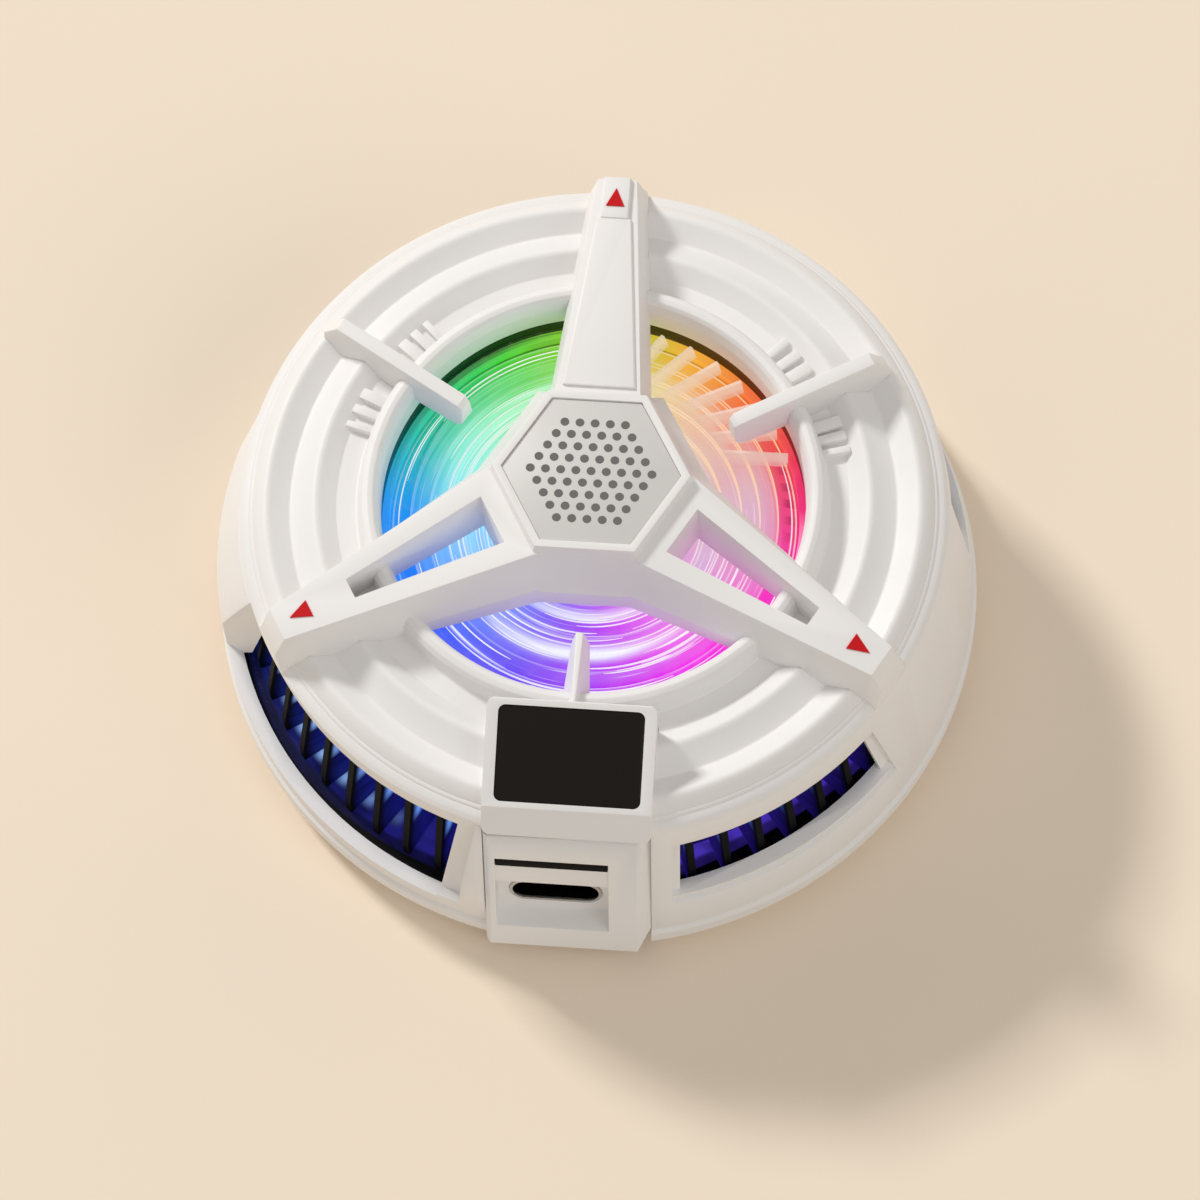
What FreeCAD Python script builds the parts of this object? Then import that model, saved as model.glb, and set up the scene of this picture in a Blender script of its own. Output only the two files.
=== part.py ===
import FreeCAD, Part
import math
import os

# A round phone cooling fan, lying on the face that holds the phone.
# The origin is the centre of that face, +Z runs up along the fan axis,
# and the display and the plug are on the -Y side. Sizes are millimetres.

V = FreeCAD.Vector

# Case
BODY_R = 37.7            # widest radius, at the base ring
WALL_FOOT_R = 37.35      # side wall at its foot
WALL_FOOT_Z = 5.15
RIM_R = 34.25            # side wall at the top cover
RIM_Z = 22.3
CHEEK_R = 37.4           # raised panel on the front left, upright up to its shoulder
CHEEK_SHOULDER_Z = 12.0
CHEEK_START = 166.0      # degrees
CHEEK_END = 264.0
WALL = 1.6               # plastic wall thickness
BASE_LOW = 0.5           # the base ring stands clear of the phone
BASE_TOP = 5.0
COVER_FLOOR = 23.9       # floor of the groove round the fan window
WINDOW_R = 20.5          # fan window in the top cover

# Phone side
COLD_R = 21.9
COLD_T = 1.6
CELL_SIDE = 30.0         # cooling element, square
CELL_FACE = 0.6
CELL_TOP = 4.6
CHANNEL_IN = 22.8        # channel for the magnets
CHANNEL_OUT = 29.2
MAGNET_COUNT = 18

# Heat sink
SINK_R = 30.0
SINK_TOP = 6.4
FIN_COUNT = 60
FIN_FIRST = 2.0          # degrees
FIN_T = 0.7
FIN_IN = 13.0
FIN_STEP = 22.4          # taller outside this radius
FIN_UNDERCUT_R = 28.9    # the fins run free of the base outside this radius
FIN_FOOT_R = 34.7
FIN_FOOT_Z = 8.6         # above this the tips follow the side wall
FIN_GAP = 2.0            # from the outside of the side wall to the tips
FIN_TOP = 19.6
BAY_HALF = 19.0          # degrees left free each side for the front bay
BOSS_HALF = 5.5          # degrees left free each side of a screw boss

# Fan
TUBE_IN = 20.6
TUBE_OUT = 21.8
STRUT_LOW = 17.2
STRUT_TOP = 18.2
DECK_IN = 9.0
DECK_TOP = 19.8
LOUVRE_COUNT = 6
LOUVRE_PITCH = 1.75
LOUVRE_WIDTH = 2.2       # wider than the pitch, so that no gap shows from above
LOUVRE_T = 0.5
BLADE_COUNT = 40
BLADE_OFFSET = 6.2       # each blade passes the axis at this distance
BLADE_CHORD = 2.8
BLADE_T = 0.4
BLADE_PITCH = 68.0       # degrees
BLADE_MID = 21.5
BLADE_R = 19.4
TIP_LOW = 20.7           # ring round the blade tips
TIP_TOP = 22.3
HUB_R = 8.2
CUP_FLOOR = 14.4
SHAFT_R = 0.75
SHAFT_FIT = 0.03         # running clearance in the bearings

# Three-arm guard
ARM_ANGLES = (90.0, 210.0, 330.0)
FIN_ANGLES = (149.0, 30.0)
ARM_END = 33.0
ARM_END_Z = 28.0
ARM_HUB_Z = 30.2         # arms meet the hub below its border
REAR_ARM = (4.1, 1.9, 1.0)     # half width at the hub and at the end, flank at the hub
LOWER_ARM = (5.2, 1.75, 1.95)
ARM_FLANK = 1.0          # flank at the end
ARM_DROP = 4.2           # from the top face to the foot of the sloping flanks
ARM_DROP_LOSS = 0.024    # less for each millimetre from the axis
ARM_LOW = 22.75
ARM_TURN = (34.2, 25.3)  # the end bends down to this radius and height
SLOT_NEAR = (10.4, 2.65) # slot in a lower arm: distance from the axis and half width
SLOT_FAR = (25.3, 1.05)
HUB_TOP = 31.1
HUB_HEX = 9.46           # corner radius of the hub's top
HUB_WAIST = 10.4         # corner radius where the hub's sides turn outwards
HUB_WAIST_Z = 27.9
HUB_FOOT = 12.2          # corner radius of the hub's foot
HUB_FOOT_Z = 25.8
GUARD_LOW = 23.3
HOLLOW_R = 7.4           # hollow in the hub, over the fan
HOLLOW_TOP = 28.6
HOLLOW_FOOT_R = 8.8
HOLLOW_FOOT_TOP = 25.0
PLATE_HEX = 8.6
PLATE_LOW = 30.2

# Front block: display above, plug below
FRONT_HALF = 8.0
FRONT_BACK = -22.95      # just outside the ring round the window
FACE_BACK = (-23.1, 29.2)
FACE_FRONT = (-32.3, 24.8)
LIP = (-34.1, 22.2)
FRONT_CORNER = 0.8       # radius of its upright corners
GLASS_START = 0.55       # from the back edge of the face to the glass
GLASS_W = 13.8
GLASS_L = 9.1
GLASS_T = 0.8
GLASS_CORNER = 0.7       # radius of its corners, and of the recess round it
SEAM = 0.35              # groove between the display housing and the block below it
PORT_X = -1.3            # the pocket sits left of the middle
PORT_Z = 9.4
HOUSING_HOLLOW = ((-24.2, 20.0), (-24.2, 27.2), (-31.6, 23.7), (-32.4, 22.4), (-32.4, 20.0))
POCKET_LEFT = -6.85
POCKET_RIGHT = 3.95
POCKET_LOW = 6.5
POCKET_HIGH = 17.8
POCKET_GAP = 1.3         # dark gap along the top of the pocket
POCKET_STEP_Z = 13.8     # the plug sits below this, deeper in
POCKET_STEP = 0.2
POCKET_DEPTH = 2.2
PORT_W = 8.94
PORT_H = 3.16
BOARD_TOP = PORT_Z - PORT_H / 2 - 0.02
BOARD_LOW = BOARD_TOP - 1.1

# Light
LED_BOARD_LOW = 20.4
LED_BOARD_TOP = 21.2
LED_COUNT = 24

# Fixings
BOSS_ANGLES = (60.0, 184.0, 344.0)
BOSS_RADIUS = 34.2       # distance of the screws from the axis
BOSS_R = 1.9
SCREW_R = 1.0

# Side windows: start angle, end angle, lowest, highest
LEFT_WINDOW = (190.0, 252.1, 7.1, 19.7)
RIGHT_WINDOW = (288.2, 322.7, 10.5, 19.7)
REAR_WINDOWS = ((10.0, 50.0, 7.4, 20.0), (72.0, 108.0, 7.4, 20.0), (124.0, 160.0, 7.4, 20.0))
RECESS_DEPTH = 0.75
LEFT_LEAN = 1.5          # the window ends lean: millimetres from top to bottom
RIGHT_LEANS = (-0.5, 1.4)
RECESS_LOW = 9.3         # lower edge of the right window's recess
NOSE_IN = (0.55, 0.1)    # nose under that window: depth below the wall at its foot and at its top
NOSE_EDGE = 0.5          # upright edge of the nose
SILL_RISE = 0.6          # the left window's sill rises outwards
LIP_DEPTH = 1.15         # wall behind this depth is cut back round a window
LIP_TURN = 1.5           # degrees that it is cut back
FACET_IN = (33.6, 201.8) # slanted left end of the left window: radius and angle
FACET_OUT = (40.0, 192.2)


def save(name, shape):
    """Write one piece to its own file."""
    shape.exportStep("parts/" + name + ".step")
    print(name, "volume", round(shape.Volume, 2), "valid", shape.isValid())


def polar(radius, angle, height=0.0):
    """Point at a radius and an angle in degrees from +X."""
    turn = math.radians(angle)
    return V(radius * math.cos(turn), radius * math.sin(turn), height)


def turned(points, start=0.0, sweep=360.0):
    """Solid turned about the fan axis from (radius, height) points."""
    corners = [V(r, 0, z) for r, z in points]
    face = Part.Face(Part.makePolygon(corners + corners[:1]))
    solid = face.revolve(V(0, 0, 0), V(0, 0, 1), sweep)
    solid.rotate(V(0, 0, 0), V(0, 0, 1), start)
    return solid


def ring(inner, outer, low, high):
    """Flat ring about the fan axis."""
    return turned([(inner, low), (outer, low), (outer, high), (inner, high)])


def disc(radius, low, high, x=0.0, y=0.0):
    """Upright cylinder."""
    return Part.makeCylinder(radius, high - low, V(x, y, low))


def block(x0, x1, y0, y1, z0, z1):
    """Box between two corners."""
    return Part.makeBox(x1 - x0, y1 - y0, z1 - z0, V(x0, y0, z0))


def prism(corners, low, high):
    """Upright prism over (x, y) corners."""
    points = [V(x, y, low) for x, y in corners]
    face = Part.Face(Part.makePolygon(points + points[:1]))
    return face.extrude(V(0, 0, high - low))


def side_prism(corners, x0, x1):
    """Prism along X over (y, z) corners."""
    points = [V(x0, y, z) for y, z in corners]
    face = Part.Face(Part.makePolygon(points + points[:1]))
    return face.extrude(V(x1 - x0, 0, 0))


def largest(shape):
    """The main solid, without loose slivers."""
    return max(shape.Solids, key=lambda solid: solid.Volume)


def closed(points):
    """Closed wire through points."""
    return Part.makePolygon(points + points[:1])


def ruled(wires):
    """Solid with straight sides through closed wires."""
    return Part.makeLoft(wires, True, True)


def spun(shape, angle):
    """Copy turned about the fan axis."""
    copy = shape.copy()
    copy.rotate(V(0, 0, 0), V(0, 0, 1), angle)
    return copy


def round_array(shape, count, start=0.0):
    """Copies spaced evenly about the fan axis."""
    return [spun(shape, start + 360.0 * i / count) for i in range(count)]


def apart(first, second):
    """Angle between two directions, 0 to 180 degrees."""
    return abs((first - second + 180.0) % 360.0 - 180.0)


def hexagon(corner_radius, height):
    """Six-sided wire with flats facing the arms."""
    return closed([polar(corner_radius, 60.0 * i, height) for i in range(6)])


def wall_radius(height):
    """Outside radius of the sloping side wall."""
    share = (height - WALL_FOOT_Z) / (RIM_Z - WALL_FOOT_Z)
    return WALL_FOOT_R + share * (RIM_R - WALL_FOOT_R)


def cold_plate():
    """Plate that draws the heat from the phone."""
    plate = disc(COLD_R, 0.0, COLD_T)
    return plate.makeChamfer(0.25, [plate.Edges[0]])


def foam_frame():
    """Foam round the cooling element."""
    half = CELL_SIDE / 2 + 0.2
    hole = block(-half, half, -half, half, 0, CELL_TOP + 1)
    return disc(COLD_R, COLD_T, CELL_TOP).cut(hole)


def cell_face(low):
    """Ceramic face of the cooling element."""
    half = CELL_SIDE / 2
    return block(-half, half, -half, half, low, low + CELL_FACE)


def cell_pellets():
    """Semiconductor legs between the two faces."""
    rows = 10
    leg = 1.6
    pitch = (CELL_SIDE - 2.4) / rows
    low = COLD_T + CELL_FACE
    high = CELL_TOP - CELL_FACE
    legs = []
    for i in range(rows):
        for j in range(rows):
            x = (i - (rows - 1) / 2) * pitch
            y = (j - (rows - 1) / 2) * pitch
            legs.append(block(x - leg / 2, x + leg / 2, y - leg / 2, y + leg / 2, low, high))
    return Part.makeCompound(legs)


def magnets():
    """Ring of magnet segments."""
    pitch = 360.0 / MAGNET_COUNT
    gap = 1.2
    points = [(23.4, 0.9), (28.4, 0.9), (28.4, 2.7), (23.4, 2.7)]
    piece = turned(points, gap / 2, pitch - gap)
    return Part.makeCompound(round_array(piece, MAGNET_COUNT))


def front_notch(y0, y1, z0, z1):
    """Space for the front block."""
    return block(-FRONT_HALF, FRONT_HALF, y0, y1, z0, z1)


def base_shell():
    """Lower ring of the case with the magnet channel and screw bosses."""
    bottom = turned([
        (22.2, BASE_LOW), (CHANNEL_IN, BASE_LOW), (CHANNEL_IN, 3.5), (CHANNEL_OUT, 3.5),
        (CHANNEL_OUT, BASE_LOW), (34.8, BASE_LOW), (36.7, 1.6), (BODY_R, 2.9), (BODY_R, 4.6),
        (BODY_R - 0.4, BASE_TOP), (35.9, BASE_TOP), (35.9, 6.0), (35.2, 6.0),
        (35.2, BASE_TOP), (34.9, BASE_TOP), (34.9, 2.3), (30.8, 2.3),
        (30.8, BASE_TOP), (30.1, BASE_TOP), (30.1, 4.5), (22.2, 4.5),
    ])
    for angle in BOSS_ANGLES:
        spot = polar(BOSS_RADIUS, angle)
        bottom = bottom.fuse(disc(2.6, 2.0, BASE_TOP, spot.x, spot.y))
    for angle in BOSS_ANGLES:
        spot = polar(BOSS_RADIUS, angle)
        bottom = bottom.cut(disc(SCREW_R, 0, 9, spot.x, spot.y))
        bottom = bottom.cut(disc(1.95, 0, 2.3, spot.x, spot.y))
        bottom = bottom.cut(disc(2.8, BASE_TOP, 9, spot.x, spot.y))
    return bottom.cut(front_notch(-40, -33, -1, 9)).removeSplitter()


def window_end(angle, lean, low, high, side):
    """Space beyond one end of a window. The end shifts sideways by the lean from top to bottom."""
    slope = lean / (high - low)
    top, bottom = high + 6, low - 4
    near = [((high - top) * slope, top), ((high - bottom) * slope, bottom)]
    corners = near + [(side * 14, bottom), (side * 14, top)]
    points = [V(25, t, z) for t, z in corners]
    return spun(Part.Face(closed(points)).extrude(V(20, 0, 0)), angle)


def window_space(outline, window, leans=(0.0, 0.0), wider=(0.0, 0.0)):
    """Space turned between the ends of a window from a (radius, height) outline."""
    start, end, low, high = window
    start, end = start - wider[0], end + wider[1]
    space = turned(outline, start - 4, end - start + 8)
    space = space.cut(window_end(start, leans[0], low, high, -1))
    return space.cut(window_end(end, leans[1], low, high, 1))


def window_hole(window, leans=(0.0, 0.0)):
    """Opening right through the wall, with the wall behind its rim cut back."""
    low, high = window[2:]
    through = window_space([(30, low), (42, low), (42, high), (30, high)], window, leans)
    behind = [
        (30, low), (wall_radius(low) - LIP_DEPTH, low), (wall_radius(high) - LIP_DEPTH, high), (30, high),
    ]
    return through.fuse(window_space(behind, window, leans, (LIP_TURN, LIP_TURN)))


def wall_band(depth, low, high):
    """Outline of the space outside a surface that lies a depth below the sloping wall."""
    return [(wall_radius(low) - depth, low), (42, low), (42, high), (wall_radius(high) - depth, high)]


def beyond_facet():
    """Space on the far side of the slanted facet that ends the left window."""
    inner, outer = polar(*FACET_IN), polar(*FACET_OUT)
    first, last = inner + (inner - outer) * 0.8, outer + (outer - inner) * 0.6
    corners = [(first.x, first.y), (last.x, last.y)] + [tuple(polar(r, 176.0))[:2] for r in (46, 26)]
    return prism(corners, 0, 30)


def left_panel():
    """Raised panel on the front left, outside the side wall."""
    return turned([
        (WALL_FOOT_R - 1.0, WALL_FOOT_Z), (CHEEK_R, WALL_FOOT_Z), (CHEEK_R, CHEEK_SHOULDER_Z),
        (RIM_R + 0.1, RIM_Z - 0.2), (RIM_R - 1.0, RIM_Z - 0.2), (WALL_FOOT_R - 2.2, CHEEK_SHOULDER_Z),
    ], CHEEK_START, CHEEK_END - CHEEK_START)


def left_recess():
    """Space of the left window's recess, over its sloping sill."""
    low, high = LEFT_WINDOW[2:]
    inner = wall_radius(high) - RECESS_DEPTH
    sill = low + SILL_RISE
    outline = [
        (wall_radius(low) - RECESS_DEPTH, low), (CHEEK_R + 0.05, sill), (42, sill),
        (42, 24), (inner, 24), (inner, high),
    ]
    return window_space(outline, LEFT_WINDOW, (0.0, 0.3 - LEFT_LEAN), (0.0, 3.1)).cut(beyond_facet())


def right_recess():
    """Space of the right window's recess, with a nose left standing under the window."""
    low, high = RIGHT_WINDOW[2:]
    band = window_space(wall_band(RECESS_DEPTH, RECESS_LOW, high), RIGHT_WINDOW, (-0.5, 1.7), (1.5, 1.4))
    tip = wall_radius(low) - NOSE_IN[1]
    nose = [(30, RECESS_LOW), (wall_radius(RECESS_LOW) - NOSE_IN[0], RECESS_LOW), (tip, low - NOSE_EDGE),
            (tip, low), (30, low)]
    return band.cut(window_space(nose, RIGHT_WINDOW, wider=(4, 8)))


def body_shell():
    """Side wall with vent windows, the raised left panel and screw bosses."""
    wall = turned([
        (WALL_FOOT_R, WALL_FOOT_Z), (RIM_R, RIM_Z), (RIM_R - WALL - 0.1, RIM_Z),
        (wall_radius(8.5) - WALL, 8.5), (35.95, 7.1), (35.95, WALL_FOOT_Z),
    ])
    outside = turned([(0, 0), (WALL_FOOT_R, 0), (WALL_FOOT_R, WALL_FOOT_Z), (RIM_R, RIM_Z), (0, RIM_Z)])
    for angle in BOSS_ANGLES:
        spot = polar(BOSS_RADIUS, angle)
        web = polar(BOSS_RADIUS + 1.0, angle)
        wall = wall.fuse(disc(BOSS_R, BASE_TOP, 18.5, spot.x, spot.y))
        wall = wall.fuse(disc(1.2, BASE_TOP + 2, 14, web.x, web.y))
    for angle in BOSS_ANGLES:
        spot = polar(BOSS_RADIUS, angle)
        wall = wall.cut(disc(SCREW_R, 0, 12, spot.x, spot.y))
    wall = wall.common(outside).fuse(left_panel())
    wall = wall.cut(left_recess()).cut(right_recess())
    wall = wall.cut(window_hole(LEFT_WINDOW, (0.0, -LEFT_LEAN)).cut(beyond_facet()))
    wall = wall.cut(window_hole(RIGHT_WINDOW, RIGHT_LEANS))
    for window in REAR_WINDOWS:
        low, high = window[2:]
        wall = wall.cut(window_space(wall_band(RECESS_DEPTH, low, high), window, wider=(3.6, 1.8)))
        wall = wall.cut(window_hole(window))
    return largest(wall.cut(front_notch(-40, -30, 0, 30)).removeSplitter())


def vent_floor():
    """Black ring that closes the floor under the fin tips, so the air leaves by the windows."""
    floor = ring(30.1, 35.2, BASE_TOP, BASE_TOP + 1.2)
    for angle in BOSS_ANGLES:
        spot = polar(BOSS_RADIUS, angle)
        floor = floor.cut(disc(2.9, 0, 9, spot.x, spot.y))
    return floor.cut(block(-9.6, 9.6, -40, -28, 0, 9))


def cover_profile():
    """Outline of the ring cover: rim, two saw-tooth rings and the window ring."""
    return [
        (RIM_R, RIM_Z), (RIM_R, 22.75), (33.9, 23.1),
        (31.43, 24.9), (29.25, 23.55), (26.64, 25.35), (24.75, COVER_FLOOR),
        (22.75, COVER_FLOOR), (22.45, 25.8), (22.1, 26.35), (21.6, 26.6),
        (21.1, 26.5), (20.8, 26.1), (WINDOW_R, 24.9), (WINDOW_R, RIM_Z),
        (24.7, RIM_Z), (26.6, 23.7), (29.25, 21.95), (31.4, 23.3),
        (31.75, 23.0), (31.75, 20.6), (32.5, 20.6), (32.5, RIM_Z),
    ]


def cover_rib(angle, half_width, top):
    """Small rib across the floor of the inner groove."""
    rib = block(22.6, 25.2, -half_width, half_width, COVER_FLOOR - 0.6, top)
    return spun(rib, angle)


def top_cover():
    """Cover of rings round the fan window, with small ribs beside the fins."""
    cover = turned(cover_profile())
    for fin in FIN_ANGLES:
        for offset, half, top in ((-14, 0.5, 24.7), (-10.5, 0.3, 24.9), (-7, 0.6, 24.6),
                                  (8, 0.6, 24.6), (12, 0.4, 24.9), (16, 0.3, 24.7)):
            cover = cover.fuse(cover_rib(fin + offset, half, top))
    cover = cover.cut(front_notch(-40, FRONT_BACK, 15, 40))
    return cover.removeSplitter()


def arm_half(station, hub_half, end_half):
    """Half width of an arm's top face at a distance from the axis."""
    share = (station - 8.0) / (ARM_END - 8.0)
    return hub_half + share * (end_half - hub_half)


def arm_height(station):
    """Height of an arm's top face at a distance from the axis."""
    share = (station - 8.0) / (ARM_END - 8.0)
    return ARM_HUB_Z + share * (ARM_END_Z - ARM_HUB_Z)


def arm_section(station, half, flank, top, bottom):
    """Cross-section of an arm that points along +Y: top face, sloping flanks and upright sides."""
    drop = min(ARM_DROP - ARM_DROP_LOSS * station, (top - bottom) * 0.8)
    return closed([
        V(-half - flank, station, bottom), V(-half - flank, station, top - drop),
        V(-half, station, top), V(half, station, top),
        V(half + flank, station, top - drop), V(half + flank, station, bottom),
    ])


def arm(hub_half, end_half, hub_flank):
    """One arm along +Y, from inside the hub to its wrapped-over end."""
    near = 3.0
    near_flank = hub_flank + (hub_flank - ARM_FLANK) * (8.0 - near) / (ARM_END - 8.0)
    wires = [
        arm_section(near, arm_half(near, hub_half, end_half), near_flank, arm_height(near), ARM_LOW),
        arm_section(ARM_END, end_half, ARM_FLANK, ARM_END_Z, ARM_LOW),
        arm_section(ARM_TURN[0], end_half - 0.1, ARM_FLANK, ARM_TURN[1], ARM_LOW),
    ]
    return ruled(wires)


def arm_slot():
    """Tapered slot through an arm that points along +Y."""
    near, near_half = SLOT_NEAR
    far, far_half = SLOT_FAR
    corners = [(-near_half, near), (near_half, near), (far_half, far), (-far_half, far)]
    return prism(corners, 20, 35)


def arm_frame(cover):
    """Three-arm guard with its six-sided hub, seated on the ring cover."""
    guard = ruled([hexagon(HUB_FOOT, HUB_FOOT_Z), hexagon(HUB_WAIST, HUB_WAIST_Z), hexagon(HUB_HEX, HUB_TOP)])
    foot = Part.Face(hexagon(HUB_FOOT, GUARD_LOW)).extrude(V(0, 0, HUB_FOOT_Z - GUARD_LOW))
    guard = guard.fuse(foot)
    for angle in ARM_ANGLES:
        widths = REAR_ARM if angle == 90.0 else LOWER_ARM
        guard = guard.fuse(spun(arm(*widths), angle - 90.0))
    guard = guard.cut(disc(WINDOW_R, 15, GUARD_LOW))
    for angle in ARM_ANGLES[1:]:
        guard = guard.cut(spun(arm_slot(), angle - 90.0))
    recess = Part.Face(hexagon(PLATE_HEX + 0.02, PLATE_LOW)).extrude(V(0, 0, 5))
    guard = guard.cut(recess)
    guard = guard.cut(disc(HOLLOW_R, 20, HOLLOW_TOP))
    guard = guard.cut(disc(HOLLOW_FOOT_R, 20, HOLLOW_FOOT_TOP))
    guard = guard.cut(disc(50, HUB_TOP, 40))
    return largest(guard.cut(cover).removeSplitter())


def badge_plate():
    """Grey plate in the hub."""
    return Part.Face(hexagon(PLATE_HEX, PLATE_LOW)).extrude(V(0, 0, 0.7))


def panel_section(station, half, rise):
    """Cross-section of the raised panel on the rear arm."""
    low = arm_height(station)
    return closed([
        V(-half, station, low), V(-half + 0.2, station, low + rise),
        V(half - 0.2, station, low + rise), V(half, station, low),
    ])


def arm_panel():
    """Raised panel on the rear arm, with a higher plate at its end."""
    step = 28.3
    long_part = ruled([panel_section(9.3, 3.6, 0.35), panel_section(step, 1.8, 0.35)])
    end_part = ruled([panel_section(step, 1.5, 0.5), panel_section(ARM_END, 1.45, 0.5)])
    return long_part.fuse(end_part).removeSplitter()


def arrow_mark(lift):
    """Thin triangle near the end of an arm along +Y, pointing outwards."""
    corners = [(-0.9, 29.6), (0.9, 29.6), (0.0, 31.65)]
    low = [V(x, y, arm_height(y) + lift) for x, y in corners]
    high = [V(x, y, arm_height(y) + lift + 0.12) for x, y in corners]
    return ruled([closed(low), closed(high)])


def arrow_marks():
    """Three triangles on the arm ends."""
    marks = [arrow_mark(0.5)]
    for angle in ARM_ANGLES[1:]:
        marks.append(spun(arrow_mark(0.0), angle - 90.0))
    return Part.makeCompound(marks)


def fin_section(station, top_half, foot_half, top, bottom):
    """Cross-section of a fin that points along +X."""
    return closed([
        V(station, -foot_half, bottom), V(station, -top_half, top),
        V(station, top_half, top), V(station, foot_half, bottom),
    ])


def side_fin(angle, cover):
    """Blade-like fin from the outer ring over the window."""
    body = ruled([
        fin_section(14.9, 0.55, 0.85, 27.6, 25.0), fin_section(15.4, 0.7, 1.0, 28.1, 24.5),
        fin_section(29.9, 0.7, 1.15, 28.2, 23.2), fin_section(31.6, 0.75, 1.15, 25.7, 23.2),
    ])
    body = spun(body, angle)
    return largest(body.cut(cover))


def front_fin(cover):
    """Ridge-topped fin behind the display."""
    body = ruled([
        fin_section(15.0, 0.35, 0.9, 27.0, 24.3), fin_section(-FRONT_BACK - 0.05, 0.15, 1.5, 27.7, 24.0),
    ])
    return largest(spun(body, 270.0).cut(cover))


def face_point(along, across, above):
    """Point on the slanted display face: along from its back edge, across, above."""
    run = FACE_BACK[0] - FACE_FRONT[0]
    fall = FACE_BACK[1] - FACE_FRONT[1]
    length = math.hypot(run, fall)
    cos, sin = run / length, fall / length
    y = FACE_BACK[0] - along * cos - above * sin
    z = FACE_BACK[1] - along * sin + above * cos
    return V(across, y, z)


def face_plate(along0, along1, half, above0, above1):
    """Plate parallel to the display face."""
    low = [face_point(along0, -half, above0), face_point(along0, half, above0),
           face_point(along1, half, above0), face_point(along1, -half, above0)]
    high = [face_point(along0, -half, above1), face_point(along0, half, above1),
            face_point(along1, half, above1), face_point(along1, -half, above1)]
    return ruled([closed(low), closed(high)])


def rounded_plate(along0, along1, half, above0, above1):
    """Plate parallel to the display face, with rounded corners."""
    plate = face_plate(along0, along1, half, above0, above1)
    uprights = [e for e in plate.Edges if abs(e.Length - (above1 - above0)) < 0.01]
    return plate.makeFillet(GLASS_CORNER, uprights)


def display_housing():
    """Box that carries the display."""
    outline = [(FRONT_BACK, LIP[1]), (FRONT_BACK, FACE_BACK[1] - 0.1), FACE_BACK, FACE_FRONT, LIP]
    plan = block(-FRONT_HALF, FRONT_HALF, LIP[0], FRONT_BACK, LIP[1] - 1, 32)
    uprights = [e for e in plan.Edges if abs(e.tangentAt(e.FirstParameter).z) > 0.9]
    plan = plan.makeFillet(FRONT_CORNER, uprights)
    box = plan.common(side_prism(outline, -FRONT_HALF - 1, FRONT_HALF + 1))
    box = box.cut(side_prism(HOUSING_HOLLOW, -FRONT_HALF + 1.3, FRONT_HALF - 1.3))
    end = GLASS_START + GLASS_L
    box = box.cut(rounded_plate(GLASS_START, end, GLASS_W / 2, -GLASS_T, 1))
    return box.cut(face_plate(GLASS_START + 0.8, end - 0.8, GLASS_W / 2 - 0.8, -4, 0))


def display_glass():
    """Black glass, a hair below its frame."""
    return rounded_plate(GLASS_START, GLASS_START + GLASS_L, GLASS_W / 2, -GLASS_T, -0.08)


def display_module():
    """Number display behind the glass."""
    end = GLASS_START + GLASS_L
    return face_plate(GLASS_START + 1.0, end - 1.0, GLASS_W / 2 - 1.0, -GLASS_T - 1.2, -GLASS_T)


def display_ribbon():
    """Flat cable from the display down to the main board."""
    return block(3.4, 5.8, -29.2, -29.0, BOARD_TOP, 22.5)


def stadium(width, height, y0, y1, x, z):
    """Rounded bar along Y."""
    r = height / 2
    half = width / 2 - r
    bar = block(x - half, x + half, y0, y1, z - r, z + r)
    for side in (-1, 1):
        bar = bar.fuse(Part.makeCylinder(r, y1 - y0, V(x + side * half, y0, z), V(0, 1, 0)))
    return bar.removeSplitter()


def front_face_y(height):
    """Front face of the lower block at a height."""
    top = (LIP[0] + 0.2, LIP[1])
    foot = (-38.3, 3.0)
    share = (height - foot[1]) / (top[1] - foot[1])
    return foot[0] + share * (top[0] - foot[0])


def slanted(depth, low, high):
    """Space in front of a wall that lies parallel to the front face, between two heights."""
    corners = [(front_face_y(low) + depth, low), (front_face_y(high) + depth, high), (-45, high), (-45, low)]
    return side_prism(corners, POCKET_LEFT, POCKET_RIGHT)


def port_housing():
    """Lower front block with the stepped pocket for the plug."""
    outline = [
        (LIP[0] + 0.2, LIP[1]), (front_face_y(3.4), 3.4), (-37.5, 1.7), (-33.05, 1.7),
        (-33.05, 5.3), (-32.2, 5.3), (-32.2, LIP[1]),
    ]
    half = FRONT_HALF - 0.03
    box = side_prism(outline, -half, half)
    for side, size in ((1, 1.3), (-1, 0.5)):
        uprights = [e for e in box.Edges if abs(e.CenterOfMass.x - side * half) < 0.01
                    and e.CenterOfMass.y < -35 and e.Length > 15]
        box = box.makeChamfer(size, uprights)
    for side, run, rise in ((1, 2.1, 3.8), (-1, 0.8, 2.0)):
        corner = [V(side * half, -45, 1.6), V(side * (half - run), -45, 1.6), V(side * half, -45, 1.7 + rise)]
        box = box.cut(Part.Face(closed(corner)).extrude(V(0, 15, 0)))
    behind = front_face_y(LIP[1]) + SEAM
    groove = [(behind, LIP[1] - SEAM), (behind, LIP[1] + 1), (-45, LIP[1] + 1), (-45, LIP[1] - SEAM)]
    box = box.cut(side_prism(groove, -half - 1, half + 1))
    box = box.cut(slanted(POCKET_STEP, POCKET_LOW, POCKET_HIGH))
    box = box.cut(slanted(POCKET_DEPTH, POCKET_LOW, POCKET_STEP_Z))
    box = box.cut(slanted(POCKET_DEPTH - 0.4, POCKET_HIGH - POCKET_GAP, POCKET_HIGH))
    return box.cut(stadium(PORT_W, PORT_H, -36, -30, PORT_X, PORT_Z))


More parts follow.
